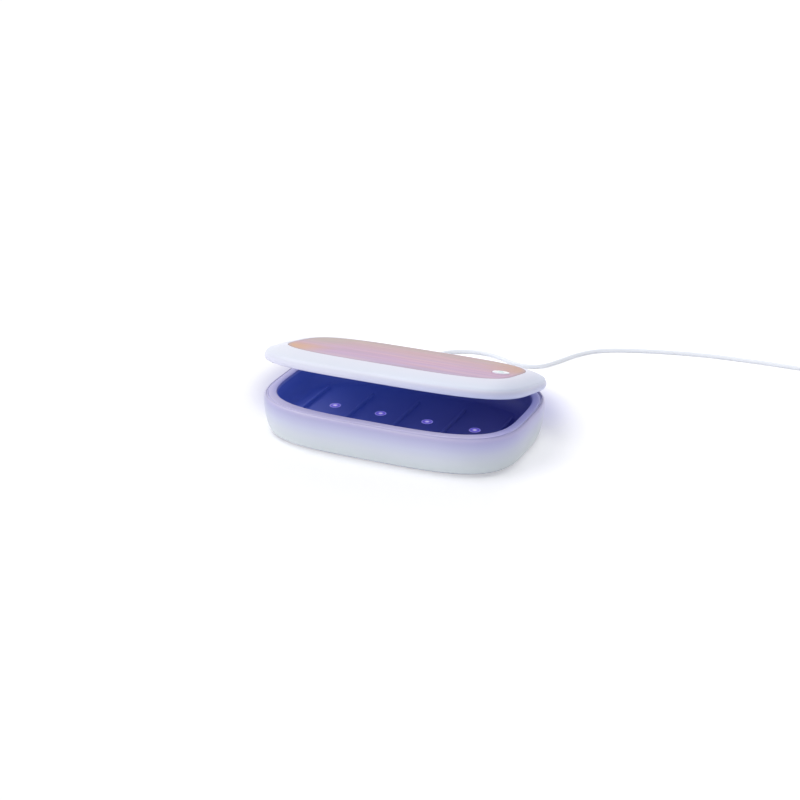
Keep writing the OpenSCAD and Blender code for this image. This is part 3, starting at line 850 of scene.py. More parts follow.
@dataclass(frozen=True)
class ChamberBlue:
    """Tray plastic, deep blue in the chamber and lilac on the rim, with painted shade toward the
    right and painted light that makes the chamber walls and the rim's right end glow.
    """

    name: str = "chamber_blue"
    floor: float = 0.010
    rim: float = 0.032
    rim_start: float = 0.0009
    rim_end: float = 0.0002
    wall: Stops = (
        (0.0, paint(90, 102, 186)), (0.36, paint(98, 112, 192)), (0.62, paint(106, 122, 202)),
        (0.87, paint(112, 126, 205)), (0.93, paint(174, 184, 228)), (1.0, paint(200, 204, 240)))
    haze: Colour = paint(112, 126, 210)
    haze_part: float = 0.3
    # painted shade: the side colour darkens the tray toward the right, away from the key light
    right_shade_run: Spot = (-0.1, 0.1)
    side: Colour = paint(96, 90, 150)
    right_shade_part: float = 0.45
    end: Veil = Veil(0.098, 0.102, 0.8, paint(190, 196, 250))
    flange_run: Spot = (0.905, 0.968)
    flange: Stops = (
        (0.0, paint(134, 136, 206)), (0.3, paint(152, 152, 216)), (0.6, paint(182, 178, 226)),
        (0.85, paint(200, 194, 234)), (1.0, paint(190, 186, 228)))
    # painted light: the flange grows lighter toward the rim's right end
    painted_light_flange_end: Veil = Veil(0.060, 0.098, 0.66, paint(230, 230, 254))
    front_depth: Spot = (-0.015, -0.055)
    front_run: Spot = (-0.08, 0.06)
    front: Colour = paint(202, 196, 228)
    far_front: Colour = paint(226, 220, 248)
    # painted light: the tray is no lamp, but its chamber walls glow blue, fading toward the right,
    # and the rim's right end glows lilac
    glow: Colour = paint(56, 96, 208)
    far_painted_glow: Colour = paint(26, 28, 110)
    rim_painted_glow: Colour = paint(58, 62, 226)
    rim_painted_glow_run: Spot = (0.070, 0.100)
    painted_glow_strength: float = 0.12

    def make(self) -> Material:
        """Makes the material.

        Returns:
            The material.
        """
        sheet = Recipe(self.name)
        along, height = sheet.spot(Axis.X), sheet.spot(Axis.Z)
        side = sheet.share(along, *self.right_shade_run)
        wall = sheet.ramp(sheet.share(height, self.floor, self.rim, soft=False), self.wall)
        wall = sheet.mist(wall, sheet.noise(scale=30.0, detail=3.0), self.haze_part, self.haze)
        # painted shade toward the right
        wall = sheet.mist(wall, side, self.right_shade_part, self.side)
        wall = sheet.veil(wall, along, self.end)
        out = sheet.rim_share(*BOX_OUTLINE)
        flange = sheet.ramp(sheet.share(out, *self.flange_run, soft=False), self.flange)
        # painted light toward the rim's right end
        flange = sheet.veil(flange, along, self.painted_light_flange_end)
        front = sheet.blend(sheet.share(along, *self.front_run), self.front, self.far_front)
        near = sheet.share(sheet.spot(Axis.Y), *self.front_depth)
        flange = sheet.blend(near, flange, front)
        top = sheet.share(height, self.rim - self.rim_start, self.rim - self.rim_end)
        # painted light: the glow lies on the chamber walls and on the rim's right end
        lit = sheet.math("MAXIMUM", sheet.math("SUBTRACT", 1.0, top),
                         sheet.share(along, *self.rim_painted_glow_run))
        glow = sheet.blend(side, self.glow, self.far_painted_glow)
        sheet.put(Base_Color=sheet.blend(top, wall, flange),
                  Coat_Weight=0.15, Coat_Roughness=0.25,
                  Emission_Color=sheet.blend(top, glow, self.rim_painted_glow),
                  Emission_Strength=sheet.math("MULTIPLY", lit, self.painted_glow_strength))
        sheet.feel(sheet.noise(scale=1400.0, detail=1.0),
                   Touch(rough=0.36, spread=0.1, strength=0.2, deep=0.00003))
        return sheet.material


@dataclass(frozen=True)
class LidGloss:
    """Near-white glossy lid frame with a lilac band under its ridge, painted shade toward its right
    end and painted light along its lower edge.
    """

    name: str = "lid_gloss"
    low: float = 0.0326
    high: float = 0.0453
    # the lightest, bluest bottom rows of near and far are painted light along the lower edge, from
    # the chamber's glow
    near: Stops = (
        (0.00, paint(236, 236, 254)), (0.08, paint(233, 233, 255)), (0.28, paint(231, 231, 250)),
        (0.42, paint(222, 224, 239)), (0.52, paint(224, 227, 241)), (0.68, paint(227, 231, 244)),
        (1.00, paint(231, 232, 246)))
    # painted shade: darker colours that the frame takes toward its right end, away from the key
    # light
    far: Stops = (
        (0.00, paint(198, 213, 254)), (0.08, paint(199, 205, 244)), (0.28, paint(201, 204, 236)),
        (0.40, paint(212, 213, 236)), (0.46, paint(222, 223, 243)), (0.54, paint(229, 235, 252)),
        (0.72, paint(227, 232, 248)), (1.00, paint(232, 231, 247)))
    far_run: Spot = (-0.06, 0.10)
    # painted shade: a dark blue veil over the frame's right tip
    end: Veil = Veil(0.084, 0.106, 0.22, paint(112, 126, 182))
    haze: Colour = paint(224, 230, 240)
    haze_part: float = 0.2

    def make(self) -> Material:
        """Makes the material.

        Returns:
            The material.
        """
        sheet = Recipe(self.name)
        along = sheet.spot(Axis.X)
        cloud = sheet.noise(scale=9.0, detail=2.0)
        height = sheet.share(sheet.spot(Axis.Z), self.low, self.high, soft=False)
        # painted shade toward the right end
        run = sheet.blend(sheet.share(along, *self.far_run), sheet.ramp(height, self.near),
                          sheet.ramp(height, self.far))
        run = sheet.veil(run, along, self.end)
        sheet.put(Base_Color=sheet.mist(run, cloud, self.haze_part, self.haze),
                  Roughness=sheet.vary(0.34, cloud, 0.06), Specular_IOR_Level=0.4,
                  Subsurface_Weight=0.08, Subsurface_Radius=(0.9, 0.9, 1.0),
                  Subsurface_Scale=0.0015, Coat_Weight=0.18, Coat_Roughness=0.16)
        sheet.bump(sheet.noise(scale=2200.0, detail=1.0), strength=0.12, deep=0.00002)
        return sheet.material


@dataclass(frozen=True)
class RosePanel:
    """Pearly rose film with streaks along it, tan at the back and orange at its two tips."""

    name: str = "rose_panel"
    half_len: float = 0.0918
    half_wid: float = 0.0498
    square: float = 3.6
    across: Stops = (
        (0.00, paint(188, 166, 196)), (0.06, paint(191, 165, 200)), (0.16, paint(196, 162, 197)),
        (0.30, paint(200, 160, 196)), (0.44, paint(201, 163, 194)), (0.58, paint(200, 162, 182)),
        (0.70, paint(200, 162, 171)), (0.82, paint(197, 166, 168)), (0.90, paint(190, 166, 160)),
        (0.96, paint(184, 160, 146)), (1.00, paint(172, 154, 142)))
    wave_across: float = 0.02
    wave_along: float = 0.03
    rose: Veil = Veil(0.48, 0.64, 0.45, paint(207, 158, 178))
    pale: Veil = Veil(0.50, 0.62, 0.45, paint(211, 178, 188))
    grey: Veil = Veil(0.49, 0.38, 0.40, paint(180, 152, 178))
    lines: Veil = Veil(0.50, 0.62, 0.26, paint(174, 138, 160))
    left_run: Spot = (-0.048, -0.082)
    right_run: Spot = (0.050, 0.086)
    back_run: Spot = (-0.016, 0.022)
    front_run: Spot = (0.006, -0.034)
    edge: Veil = Veil(0.965, 0.990, 0.5, paint(172, 150, 166))

    def make(self) -> Material:
        """Makes the material.

        Returns:
            The material.
        """
        sheet = Recipe(self.name)
        x, y = sheet.spot(Axis.X), sheet.spot(Axis.Y)
        broad = sheet.noise(1.0, detail=2.0, place=sheet.turned((9, 130, 1)))
        fine = sheet.noise(1.0, detail=3.0, place=sheet.turned((24, 420, 1)))
        drift = sheet.noise(1.0, detail=1.0, place=sheet.turned((8, 60, 1)))
        wave = sheet.math("SUBTRACT", broad, 0.5)
        bent = sheet.vary(y, wave, self.wave_across)
        run = sheet.ramp(sheet.share(bent, -self.half_wid, self.half_wid, soft=False), self.across)
        for pattern, streak in ((drift, self.rose), (broad, self.pale), (broad, self.grey),
                                (fine, self.lines)):
            run = sheet.veil(run, pattern, streak)
        reach = sheet.vary(x, wave, self.wave_along)
        left, right = sheet.share(reach, *self.left_run), sheet.share(reach, *self.right_run)
        back, front = sheet.share(y, *self.back_run), sheet.share(y, *self.front_run)
        for end, side, part, tint in ((left, back, 0.75, paint(184, 170, 162)),
                                      (left, front, 0.9, paint(216, 166, 118)),
                                      (right, back, 0.8, paint(198, 154, 128))):
            run = sheet.mist(run, sheet.math("MULTIPLY", end, side), part, tint)
        out = sheet.rim_share(self.half_len, self.half_wid, self.square)
        sheet.put(Base_Color=sheet.veil(run, out, self.edge),
                  Specular_IOR_Level=0.25, Coat_Weight=0.1, Coat_Roughness=0.3)
        sheet.feel(fine, Touch(rough=0.40, spread=0.12, strength=0.15, deep=0.00003))
        return sheet.material


@dataclass(frozen=True)
class SoftRubber:
    """Matt rubber with a dusty bloom; where given, painted shade toward the right and painted light
    at both ends.
    """

    name: str
    colour: Colour
    bloom: Colour
    # painted shade: far darkens the rubber toward the right
    far: Colour | None = None
    # painted light: ends lightens the rubber at both ends, where shade lies
    ends: Colour | None = None
    bloom_run: Spot = (0.45, 0.7)
    far_run: Spot = (0.02, 0.1)
    painted_light_end_run: Spot = (0.0985, 0.103)

    def make(self) -> Material:
        """Makes the material.

        Returns:
            The material.
        """
        sheet = Recipe(self.name)
        dust = sheet.noise(scale=260.0, detail=4.0)
        run = sheet.blend(sheet.share(dust, *self.bloom_run), self.colour, self.bloom)
        along = sheet.spot(Axis.X)
        # painted shade toward the right
        if self.far is not None:
            run = sheet.blend(sheet.share(along, *self.far_run), run, self.far)
        # painted light at both ends
        if self.ends is not None:
            out = sheet.math("ABSOLUTE", along)
            run = sheet.blend(sheet.share(out, *self.painted_light_end_run), run, self.ends)
        sheet.put(Base_Color=run)
        sheet.feel(dust, Touch(rough=0.62, spread=0.2, strength=0.4, deep=0.00006))
        return sheet.material


@dataclass(frozen=True)
class Metal:
    """Turned or pressed metal with fine lines and slight tarnish."""

    name: str
    colour: Colour
    tarnish: Colour
    rough: float
    tarnish_run: Spot = (0.5, 0.8)

    def make(self) -> Material:
        """Makes the material.

        Returns:
            The material.
        """
        sheet = Recipe(self.name)
        lines = sheet.noise(1.0, detail=2.0, place=sheet.turned((300, 2400, 2400)))
        spots = sheet.share(sheet.noise(scale=420.0, detail=3.0), *self.tarnish_run)
        sheet.put(Base_Color=sheet.blend(spots, self.colour, self.tarnish), Metallic=1.0)
        sheet.feel(lines, Touch(self.rough, spread=0.16, strength=0.2, deep=0.00002))
        return sheet.material


@dataclass(frozen=True)
class CircuitBoard:
    """Green board: copper lines under the mask, with small bright pads."""

    name: str
    tilt: float = 0.0
    mask: Colour = paint(22, 96, 62)
    copper: Colour = paint(40, 126, 82)
    tin: Colour = paint(206, 196, 150)
    line_run: Spot = (0.44, 0.5)
    pad_run: Spot = (0.12, 0.15)

    def cells(self, sheet: Recipe, scale: float, random: float, **settings: str) -> Socket:
        """Gives a pattern of cells that lies flat on the board.

        Args:
            sheet: the board's finish.
            scale: how many cells to the metre, about.
            random: how uneven they are.
            **settings: how their distances are measured.

        Returns:
            The distances.
        """
        node = sheet.add("ShaderNodeTexVoronoi", **settings)
        sheet.feed(node.inputs["Vector"], sheet.turned((1, 1, 0), self.tilt))
        node.inputs["Scale"].default_value = scale
        node.inputs["Randomness"].default_value = random
        return node.outputs["Distance"]

    def make(self) -> Material:
        """Makes the material.

        Returns:
            The material.
        """
        sheet = Recipe(self.name)
        square = self.cells(sheet, scale=240.0, random=0.7, distance="CHEBYCHEV", feature="F2")
        lines = sheet.share(square, *self.line_run)
        dots = self.cells(sheet, scale=190.0, random=0.35, distance="EUCLIDEAN", feature="F1")
        pads = sheet.math("SUBTRACT", 1.0, sheet.share(dots, *self.pad_run))
        mask = sheet.blend(lines, self.mask, self.copper)
        sheet.put(Base_Color=sheet.blend(pads, mask, self.tin), Metallic=pads)
        sheet.feel(lines, Touch(rough=0.32, spread=0.12, strength=0.3, deep=0.00003))
        return sheet.material


@dataclass(frozen=True)
class LampPackage:
    """Ceramic lamp package with a faint violet light over it."""

    name: str = "lamp_package"
    colour: Colour = paint(236, 232, 208)
    shade: Colour = paint(214, 206, 182)
    glow: Colour = paint(150, 110, 255)

    def make(self) -> Material:
        """Makes the material.

        Returns:
            The material.
        """
        sheet = Recipe(self.name)
        speck = sheet.noise(scale=3000.0, detail=3.0)
        sheet.put(Base_Color=sheet.blend(speck, self.colour, self.shade),
                  Emission_Color=self.glow, Emission_Strength=0.35)
        sheet.feel(speck, Touch(rough=0.4, spread=0.2, strength=0.2, deep=0.00002))
        return sheet.material


@dataclass(frozen=True)
class ClearWindow:
    """Quartz window over a lamp, with painted lamp light: bright over the lamp itself, deeper
    violet round it, and glowing.
    """

    name: str
    pitch: float = 0.040
    first: float = 0.020
    row: float = 0.0
    radius: float = 0.0046
    # painted light: the rings and their glow stand in for the lamp's light through the window,
    # which is no lamp
    glow: float = 0.5
    rings: Stops = (
        (0.0, paint(232, 224, 255)), (0.26, paint(214, 204, 255)), (0.40, paint(136, 122, 236)),
        (0.74, paint(104, 92, 208)), (0.86, paint(150, 142, 236)), (1.0, paint(176, 170, 240)))

    def make(self) -> Material:
        """Makes the material, with rings of painted lamp light round each window's own centre.

        Returns:
            The material.
        """
        sheet = Recipe(self.name)
        shifted = sheet.math("ADD", sheet.spot(Axis.X), self.first)
        along = sheet.math("WRAP", shifted, self.pitch / 2)
        along.node.inputs[2].default_value = -self.pitch / 2
        across = sheet.math("SUBTRACT", sheet.math("ABSOLUTE", sheet.spot(Axis.Y)), self.row)
        squares = [sheet.math("MULTIPLY", off, off) for off in (along, across)]
        far = sheet.math("SQRT", sheet.math("ADD", *squares))
        run = sheet.ramp(sheet.share(far, 0.0, self.radius, soft=False), self.rings)
        # painted lamp light
        sheet.put(Base_Color=run, Emission_Color=run, Emission_Strength=self.glow,
                  Coat_Weight=0.7, Coat_Roughness=0.04)
        sheet.feel(sheet.noise(scale=500.0, detail=3.0),
                   Touch(rough=0.08, spread=0.1, strength=0.1, deep=0.00002))
        return sheet.material


@dataclass(frozen=True)
class ButtonWhite:
    """Glossy white button cap, a little more lilac toward its edge."""

    name: str = "button_white"
    at: Spot = (0.0795, -0.003)
    rim: Spot = (0.0048, 0.0066)
    colour: Colour = paint(226, 234, 239)
    edge: Colour = paint(226, 222, 238)
    haze: Colour = paint(212, 224, 230)
    haze_part: float = 0.2

    def make(self) -> Material:
        """Makes the material.

        Returns:
            The material.
        """
        sheet = Recipe(self.name)
        far = sheet.add("ShaderNodeVectorMath", operation="DISTANCE")
        sheet.feed(far.inputs[0], sheet.turned((1, 1, 0)))
        far.inputs[1].default_value = (*self.at, 0)
        rim = sheet.share(far.outputs["Value"], *self.rim)
        haze = sheet.noise(scale=700.0, detail=3.0)
        run = sheet.blend(rim, self.colour, self.edge)
        sheet.put(Base_Color=sheet.mist(run, haze, self.haze_part, self.haze),
                  Coat_Weight=0.4, Coat_Roughness=0.08)
        sheet.feel(haze, Touch(rough=0.2, spread=0.12, strength=0.1, deep=0.00002))
        return sheet.material


@dataclass(frozen=True)
class LensGreen:
    """Blue-green light pipe in the button, with a faint glow of painted light."""

    name: str = "lens_green"
    colour: Colour = paint(96, 186, 186)
    pale: Colour = paint(120, 204, 196)
    # painted light: the lens is no lamp, and this faint glow is painted
    glow: Colour = paint(120, 220, 210)

    def make(self) -> Material:
        """Makes the material.

        Returns:
            The material.
        """
        sheet = Recipe(self.name)
        depth = sheet.noise(scale=900.0, detail=3.0)
        sheet.put(Base_Color=sheet.blend(depth, self.colour, self.pale),
                  Roughness=sheet.vary(0.14, depth, 0.1),
                  Emission_Color=self.glow, Emission_Strength=0.12,
                  Coat_Weight=0.6, Coat_Roughness=0.05)
        return sheet.material


@dataclass(frozen=True)
class CordSheath:
    """Off-white cord and plug plastic, a little waxy."""

    name: str = "cord_sheath"
    colour: Colour = paint(242, 246, 254)
    pale: Colour = paint(245, 248, 254)

    def make(self) -> Material:
        """Makes the material.

        Returns:
            The material.
        """
        sheet = Recipe(self.name)
        cloud = sheet.noise(scale=60.0, detail=3.0)
        sheet.put(Base_Color=sheet.blend(cloud, self.colour, self.pale), Subsurface_Weight=0.1,
                  Subsurface_Radius=(1.0, 1.0, 1.0), Subsurface_Scale=0.001)
        sheet.feel(sheet.noise(scale=2600.0, detail=2.0),
                   Touch(rough=0.40, spread=0.12, strength=0.2, deep=0.00002))
        return sheet.material


@dataclass
class Finishes:
    """Every finish of the box, made once."""

    made: dict[str, Material] = field(default_factory=dict)

    def get(self, finish: Finish) -> Material:
        """Gives a finish's material, making it the first time.

        Args:
            finish: the finish.

        Returns:
            Its material.
        """
        if finish.name not in self.made:
            self.made[finish.name] = finish.make()
        return self.made[finish.name]


HOUSING = PearlWall()
TRAY = ChamberBlue()
LID = LidGloss()
PANEL = RosePanel()
COVER = MouldedPlastic("cover_plastic", paint(204, 205, 216), paint(196, 198, 211), 0.45)
LINER = MouldedPlastic("liner_plastic", paint(202, 204, 232), paint(190, 190, 228), 0.33)
BUSH = MouldedPlastic("bush_nylon", paint(226, 224, 206), paint(214, 211, 192), 0.40)
SWITCH = MouldedPlastic("switch_black", paint(52, 52, 58), paint(40, 40, 46), 0.35)
# the seal's last two colours are painted shade toward the right and painted light at both ends
SEAL = SoftRubber("seal_rubber", paint(210, 206, 234), paint(216, 212, 238), paint(178, 176, 218),
                  paint(226, 224, 252))
FEET = SoftRubber("foot_rubber", paint(74, 74, 82), paint(96, 96, 106))
STEEL = Metal("steel", paint(186, 186, 192), paint(160, 158, 162), 0.22)
MAGNET = Metal("nickel", paint(196, 194, 192), paint(172, 168, 164), 0.14)
BASE_BOARD = CircuitBoard("base_board")
LID_BOARD = CircuitBoard("lid_board", tilt=BoxSizes.lid_open)
LAMP = LampPackage()
FLOOR_WINDOW = ClearWindow("floor_window")
CEILING_WINDOW = ClearWindow("ceiling_window", first=0.0, row=0.026)
CAP = ButtonWhite()
LENS = LensGreen()
SHEATH = CordSheath()
STRAP = SoftRubber("strap_silicone", paint(224, 226, 240), paint(214, 217, 233))


@dataclass
class Assembly(ABC):
    """What every sub-assembly shares: the sizes, the finishes and the way pieces are set down."""

    sizes: BoxSizes
    finishes: Finishes

    @abstractmethod
    def build(self) -> None:
        """Makes every piece of the sub-assembly, in its place and dressed."""

    def dress(self, made: Piece, body: Body, slot: str, finish: Finish, *nodes: str) -> Piece:
        """Gives a piece its finish and its body, and hides the CAD nodes that it stands for.

        Args:
            made: the piece, in its place.
            body: the body that it rides on.
            slot: not used.
            finish: its finish.
            *nodes: the CAD nodes.

        Returns:
            The piece itself.
        """
        made.data.materials.clear()
        made.data.materials.append(self.finishes.get(finish))
        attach(made, body.value)
        if nodes:
            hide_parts(*nodes)
        log.info("%s: made, on %s", made.name, body.value)
        return made

    def keep(self, node: str, finish: Finish) -> None:
        """Gives a CAD node that is carried over its finish.

        Args:
            node: the node's name.
            finish: its finish.
        """
        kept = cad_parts[node]
        for place in kept.material_slots:
            place.material = self.finishes.get(finish)
        if not kept.material_slots:
            kept.data.materials.append(self.finishes.get(finish))
        log.info("%s: carried over", node)

    def swing(self, made: Piece) -> Piece:
        """Takes a piece drawn on the closed lid to where the lid stands ajar."""
        made.matrix_world = self.sizes.lid_place()
        return made


@dataclass
class Base(Assembly):
    """Housing, tray, seal, cover, feet and windows of the base."""

    lip_wid: float = 2.3
    lip_edge: float = 0.25
    lip_flat: float = 0.35
    groove_wid: float = 1.2
    ledge_z: float = 30.2
    ledge_t: float = 1.4
    ledge_in: float = 4.7
    shell_wall: float = 2.4
    inside_top: float = 25.0
    inside_low: float = 4.4
    cover_top: float = 3.2
    cover_in: float = 8.2
    inner_lip: float = 10.4
    rim_end: float = 9.2
    rim_side: float = 10.2
    tray_wall: float = 1.6
    tray_draw: float = 8.5
    floor_z: float = 12.0
    rib_h: float = 3.0
    rib_t: float = 2.0
    rib_half: float = 29.8
    rib_pitch: float = 40.0
    rib_edge: float = 0.55
    post_r: float = 3.5
    post_in: float = 0.5
    slot_half: float = 7.0
    slot_post: float = 1.5
    mouth_wid: float = 9.5
    mouth_high: float = 3.8
    mouth_reach: Spot = (56.0, 75.0)
    main_z: float = 5.6
    head_r: float = 2.9
    head_h: float = 1.4
    foot_r: float = 7.0
    foot_sink: float = 0.8
    seal_h: float = 1.6
    seal_round: float = 0.5
    windows: tuple[Spot, ...] = ((-60, 0), (-20, 0), (20, 0), (60, 0))
    feet: tuple[Spot, ...] = ((-78, -38.1), (-78, 38.1), (78, -38.1), (78, 38.1))
    cover_screws: tuple[Spot, ...] = ((-62, -40), (-62, 40), (0, -40), (0, 40), (62, -40), (62, 40))
    board_screws: tuple[Spot, ...] = ((-40, 0), (0, 0), (40, 0))
    main_screws: tuple[Spot, ...] = ((-58, 45.5), (-30, 45.5))

    def build(self) -> None:
        """Makes and dresses every piece of the base."""
        self.shell()
        self.tray()
        self.seal()
        self.cover()
        self.rubber()
        self.lamp_windows()

    def shell(self) -> None:
        """Makes the outer housing with its bowed wall, shoulder, lip and hinge ears."""
        s = self.sizes
        line = Profile(s.squareness)
        for z in np.linspace(s.foot_gap, s.widest_z, 26):
            line.to(s.tuck_at(z), z)
        round_in, round_up = self.lip_wid - self.lip_flat, s.rim_z - s.widest_z
        for t in np.linspace(0, math.pi / 2, 12)[1:-1]:
            line.to(round_in * (1 - math.cos(t)), s.widest_z + round_up * math.sin(t))
        line.to(self.lip_wid - self.lip_edge, s.rim_z)
        line.to(self.lip_wid, s.rim_z - self.lip_edge)
        line.to(self.lip_wid, self.ledge_z).to(self.ledge_in, self.ledge_z)
        line.to(self.ledge_in, self.ledge_z - self.ledge_t)
        for z in np.linspace(self.inside_top, self.inside_low, 14):
            line.to(self.shell_wall + s.tuck_at(z), z)
        line.to(self.inner_lip, self.inside_low).to(self.inner_lip, self.cover_top)
        line.to(self.cover_in, self.cover_top).to(self.cover_in, s.foot_gap)
        made = Bench.loft("housing", line.rings(s, 0.45, True), True)
        half = s.knuckle_len / 2 + s.hinge_gap
        Bench.change(made, [Bench.axle(s, s.knuckle_r + s.move_gap, -half, half)], Cut.AWAY)
        Bench.change(made, Bench.axles(s, s.knuckle_r, half, s.hinge_half, 0.4), Cut.ONTO)
        bore = Bench.axle(s, s.pin_r + 0.02, -s.hinge_half - 1, s.hinge_half + 1)
        Bench.change(made, [bore], Cut.AWAY)
        Bench.change(made, [self.socket_mouth()], Cut.AWAY)
        self.dress(Bench.polish(made), Body.BASE, "housing", HOUSING, "base_shell")

    def socket_mouth(self) -> Piece:
        """Makes the round-ended tool that cuts the socket's mouth through the back wall.

        Returns:
            The tool.
        """
        ring = Plugs.stadium(self.mouth_wid, self.mouth_high)
        x, z = ring[:, 0] + self.sizes.socket_x, ring[:, 1] + self.sizes.socket_z
        rings = [np.column_stack([x, np.full(len(ring), y), z]) for y in self.mouth_reach]
        return Bench.loft("mouth", rings, False)

    def tray(self) -> None:
        """Makes the chamber tray with its rim flange, ribs, lamp holes and bosses."""
        s = self.sizes
        low = self.floor_z - self.tray_wall
        ends, sides = self.rim_end, self.rim_side

        def row(draw: float, height: float) -> Row:
            """Gives a row drawn in from the chamber's mouth."""
            return (ends + draw, sides + draw, height, s.squareness)

        floor, draw = self.floor_z, self.tray_draw
        line = Profile(s.squareness)
        line.along([row(draw, low), row(draw - 3.2, low + 0.5), row(draw * 0.3, low + 3.4),
                    row(0.4 - self.tray_wall, floor + 8), row(-self.tray_wall, self.ledge_z)], 5)
        flange = self.lip_wid + self.groove_wid
        line.to(flange, self.ledge_z).to(flange, s.rim_z)
        line.to(ends - 0.5, s.rim_z, sides - 0.5)
        line.along([row(0, s.rim_z - 0.5), row(0.5, floor + 14), row(1.2, floor + 8),
                    row(draw * 0.45, floor + 2.6), row(draw - 2, floor + 0.4), row(draw, floor)], 6)
        made = Bench.loft("tray", line.rings(s, 0.5, False), False)
        half = self.rib_t / 2
        ribs = [Bench.block((x - half, -self.rib_half, floor - self.post_in),
                            (x + half, self.rib_half, floor + self.rib_h), self.rib_edge)
                for x in (i * self.rib_pitch for i in range(-2, 3))]
        Bench.change(made, ribs, Cut.ONTO)
        top = low + self.post_in
        posts = [Bench.rod(p, self.post_r, self.cover_top, top, 0.3) for p in self.cover_screws]
        posts += [Bench.rod(p, s.small_post_r, low - 1, top, 0.2) for p in self.board_screws]
        posts += [Bench.block((x - self.slot_post, -63.7, 16), (x + self.slot_post, -58.7, 27), 0.3)
                  for x in (-self.slot_half, self.slot_half)]
        Bench.change(made, posts, Cut.ONTO)
        holes = [Bench.rod(p, s.window_r + s.window_gap, low - 1, floor + 1) for p in self.windows]
        holes += [Bench.rod(p, s.tap_r, self.cover_top - 1, self.cover_top + 7)
                  for p in self.cover_screws]
        holes += [Bench.rod(p, s.small_tap_r, low - 2, low + 0.9) for p in self.board_screws]
        wide = self.slot_half + s.seat_gap
        holes.append(Bench.block((-wide, -62.4, 17), (wide, -61.0, 28)))
        reach = s.hinge_half + s.hinge_gap
        holes.append(Bench.axle(s, s.knuckle_r + s.move_gap, -reach, reach))
        Bench.change(made, holes, Cut.AWAY)
        self.dress(Bench.polish(made), Body.BASE, "tray", TRAY, "inner_tray")

    def seal(self) -> None:
        """Makes the soft ring in the rim's groove: its top is round, and it ends at the hinge."""
        s = self.sizes
        out, inner = self.lip_wid + 0.04, self.lip_wid + self.groove_wid - 0.04
        crown = self.ledge_z + self.seal_h - self.seal_round
        line = Profile(s.squareness).to(out, self.ledge_z).to(inner, self.ledge_z)
        mid = (out + inner) / 2
        for t in np.linspace(0, math.pi, 9):
            line.to(mid + (inner - mid) * math.cos(t), crown + self.seal_round * math.sin(t))
        made = Bench.loft("rim_ring", line.rings(s, 0.05, True), True)
        gap = s.hinge_half + 1
        Bench.change(made, [Bench.block((-gap, 0, 20), (gap, 90, 40))], Cut.AWAY)
        self.dress(Bench.polish(made, angle=40), Body.BASE, "seal", SEAL, "rim_seal")

    def cover(self) -> None:
        """Makes the bottom plate with foot pockets, sunk screw holes and board posts."""
        s = self.sizes
        edge = self.cover_in + s.seat_gap
        line = Profile(s.squareness).to(edge + 3, s.foot_gap).to(edge, s.foot_gap)
        line.to(edge, self.cover_top).to(edge + 3, self.cover_top)
        made = Bench.loft("bottom_plate", line.rings(s, 0.4, False), False)
        Bench.change(made, [Bench.rod(p, s.small_post_r, self.cover_top - 0.3, self.main_z)
                            for p in self.main_screws], Cut.ONTO)
        pocket, seat = s.foot_gap + self.foot_sink, s.foot_gap + self.head_h
        sink = [(0, 0), (self.head_r, 0), (self.head_r, seat), (s.screw_r, seat), (s.screw_r, 5),
                (0, 5)]
        holes = [Bench.rod(p, self.foot_r + s.seat_gap, 0, pocket) for p in self.feet]
        holes += [Bench.lathe("sink", sink, p) for p in self.cover_screws]
        holes += [Bench.rod(p, s.small_tap_r, self.main_z - 1.9, self.main_z + 1)
                  for p in self.main_screws]
        Bench.change(made, holes, Cut.AWAY)
        self.dress(Bench.polish(made), Body.BASE, "cover", COVER, "base_cover")

    def rubber(self) -> None:
        """Makes the four feet, each with a shallow ring pressed into its tread."""
        top = self.sizes.foot_gap + self.foot_sink
        r = self.foot_r
        line = [(0, 0.0), (3.2, 0.0), (3.4, 0.2), (4.2, 0.2), (4.4, 0.0), (r - 1.0, 0.0),
                (r - 0.35, 0.18), (r, 0.6), (r, top), (0, top)]
        made = Bench.gather(Bench.lathe("feet", line, p, 0.15) for p in self.feet)
        self.dress(Bench.polish(made), Body.BASE, "feet", FEET, "rubber_feet")

    def lamp_windows(self) -> None:
        """Makes the clear discs in the chamber floor."""
        low = self.floor_z - self.tray_wall
        made = Bench.gather(Bench.disc(p, self.sizes.window_r, low, self.floor_z)
                            for p in self.windows)
        made.name = "floor_windows"
        self.dress(Bench.polish(made), Body.BASE, "window", FLOOR_WINDOW, "base_lamp_windows")


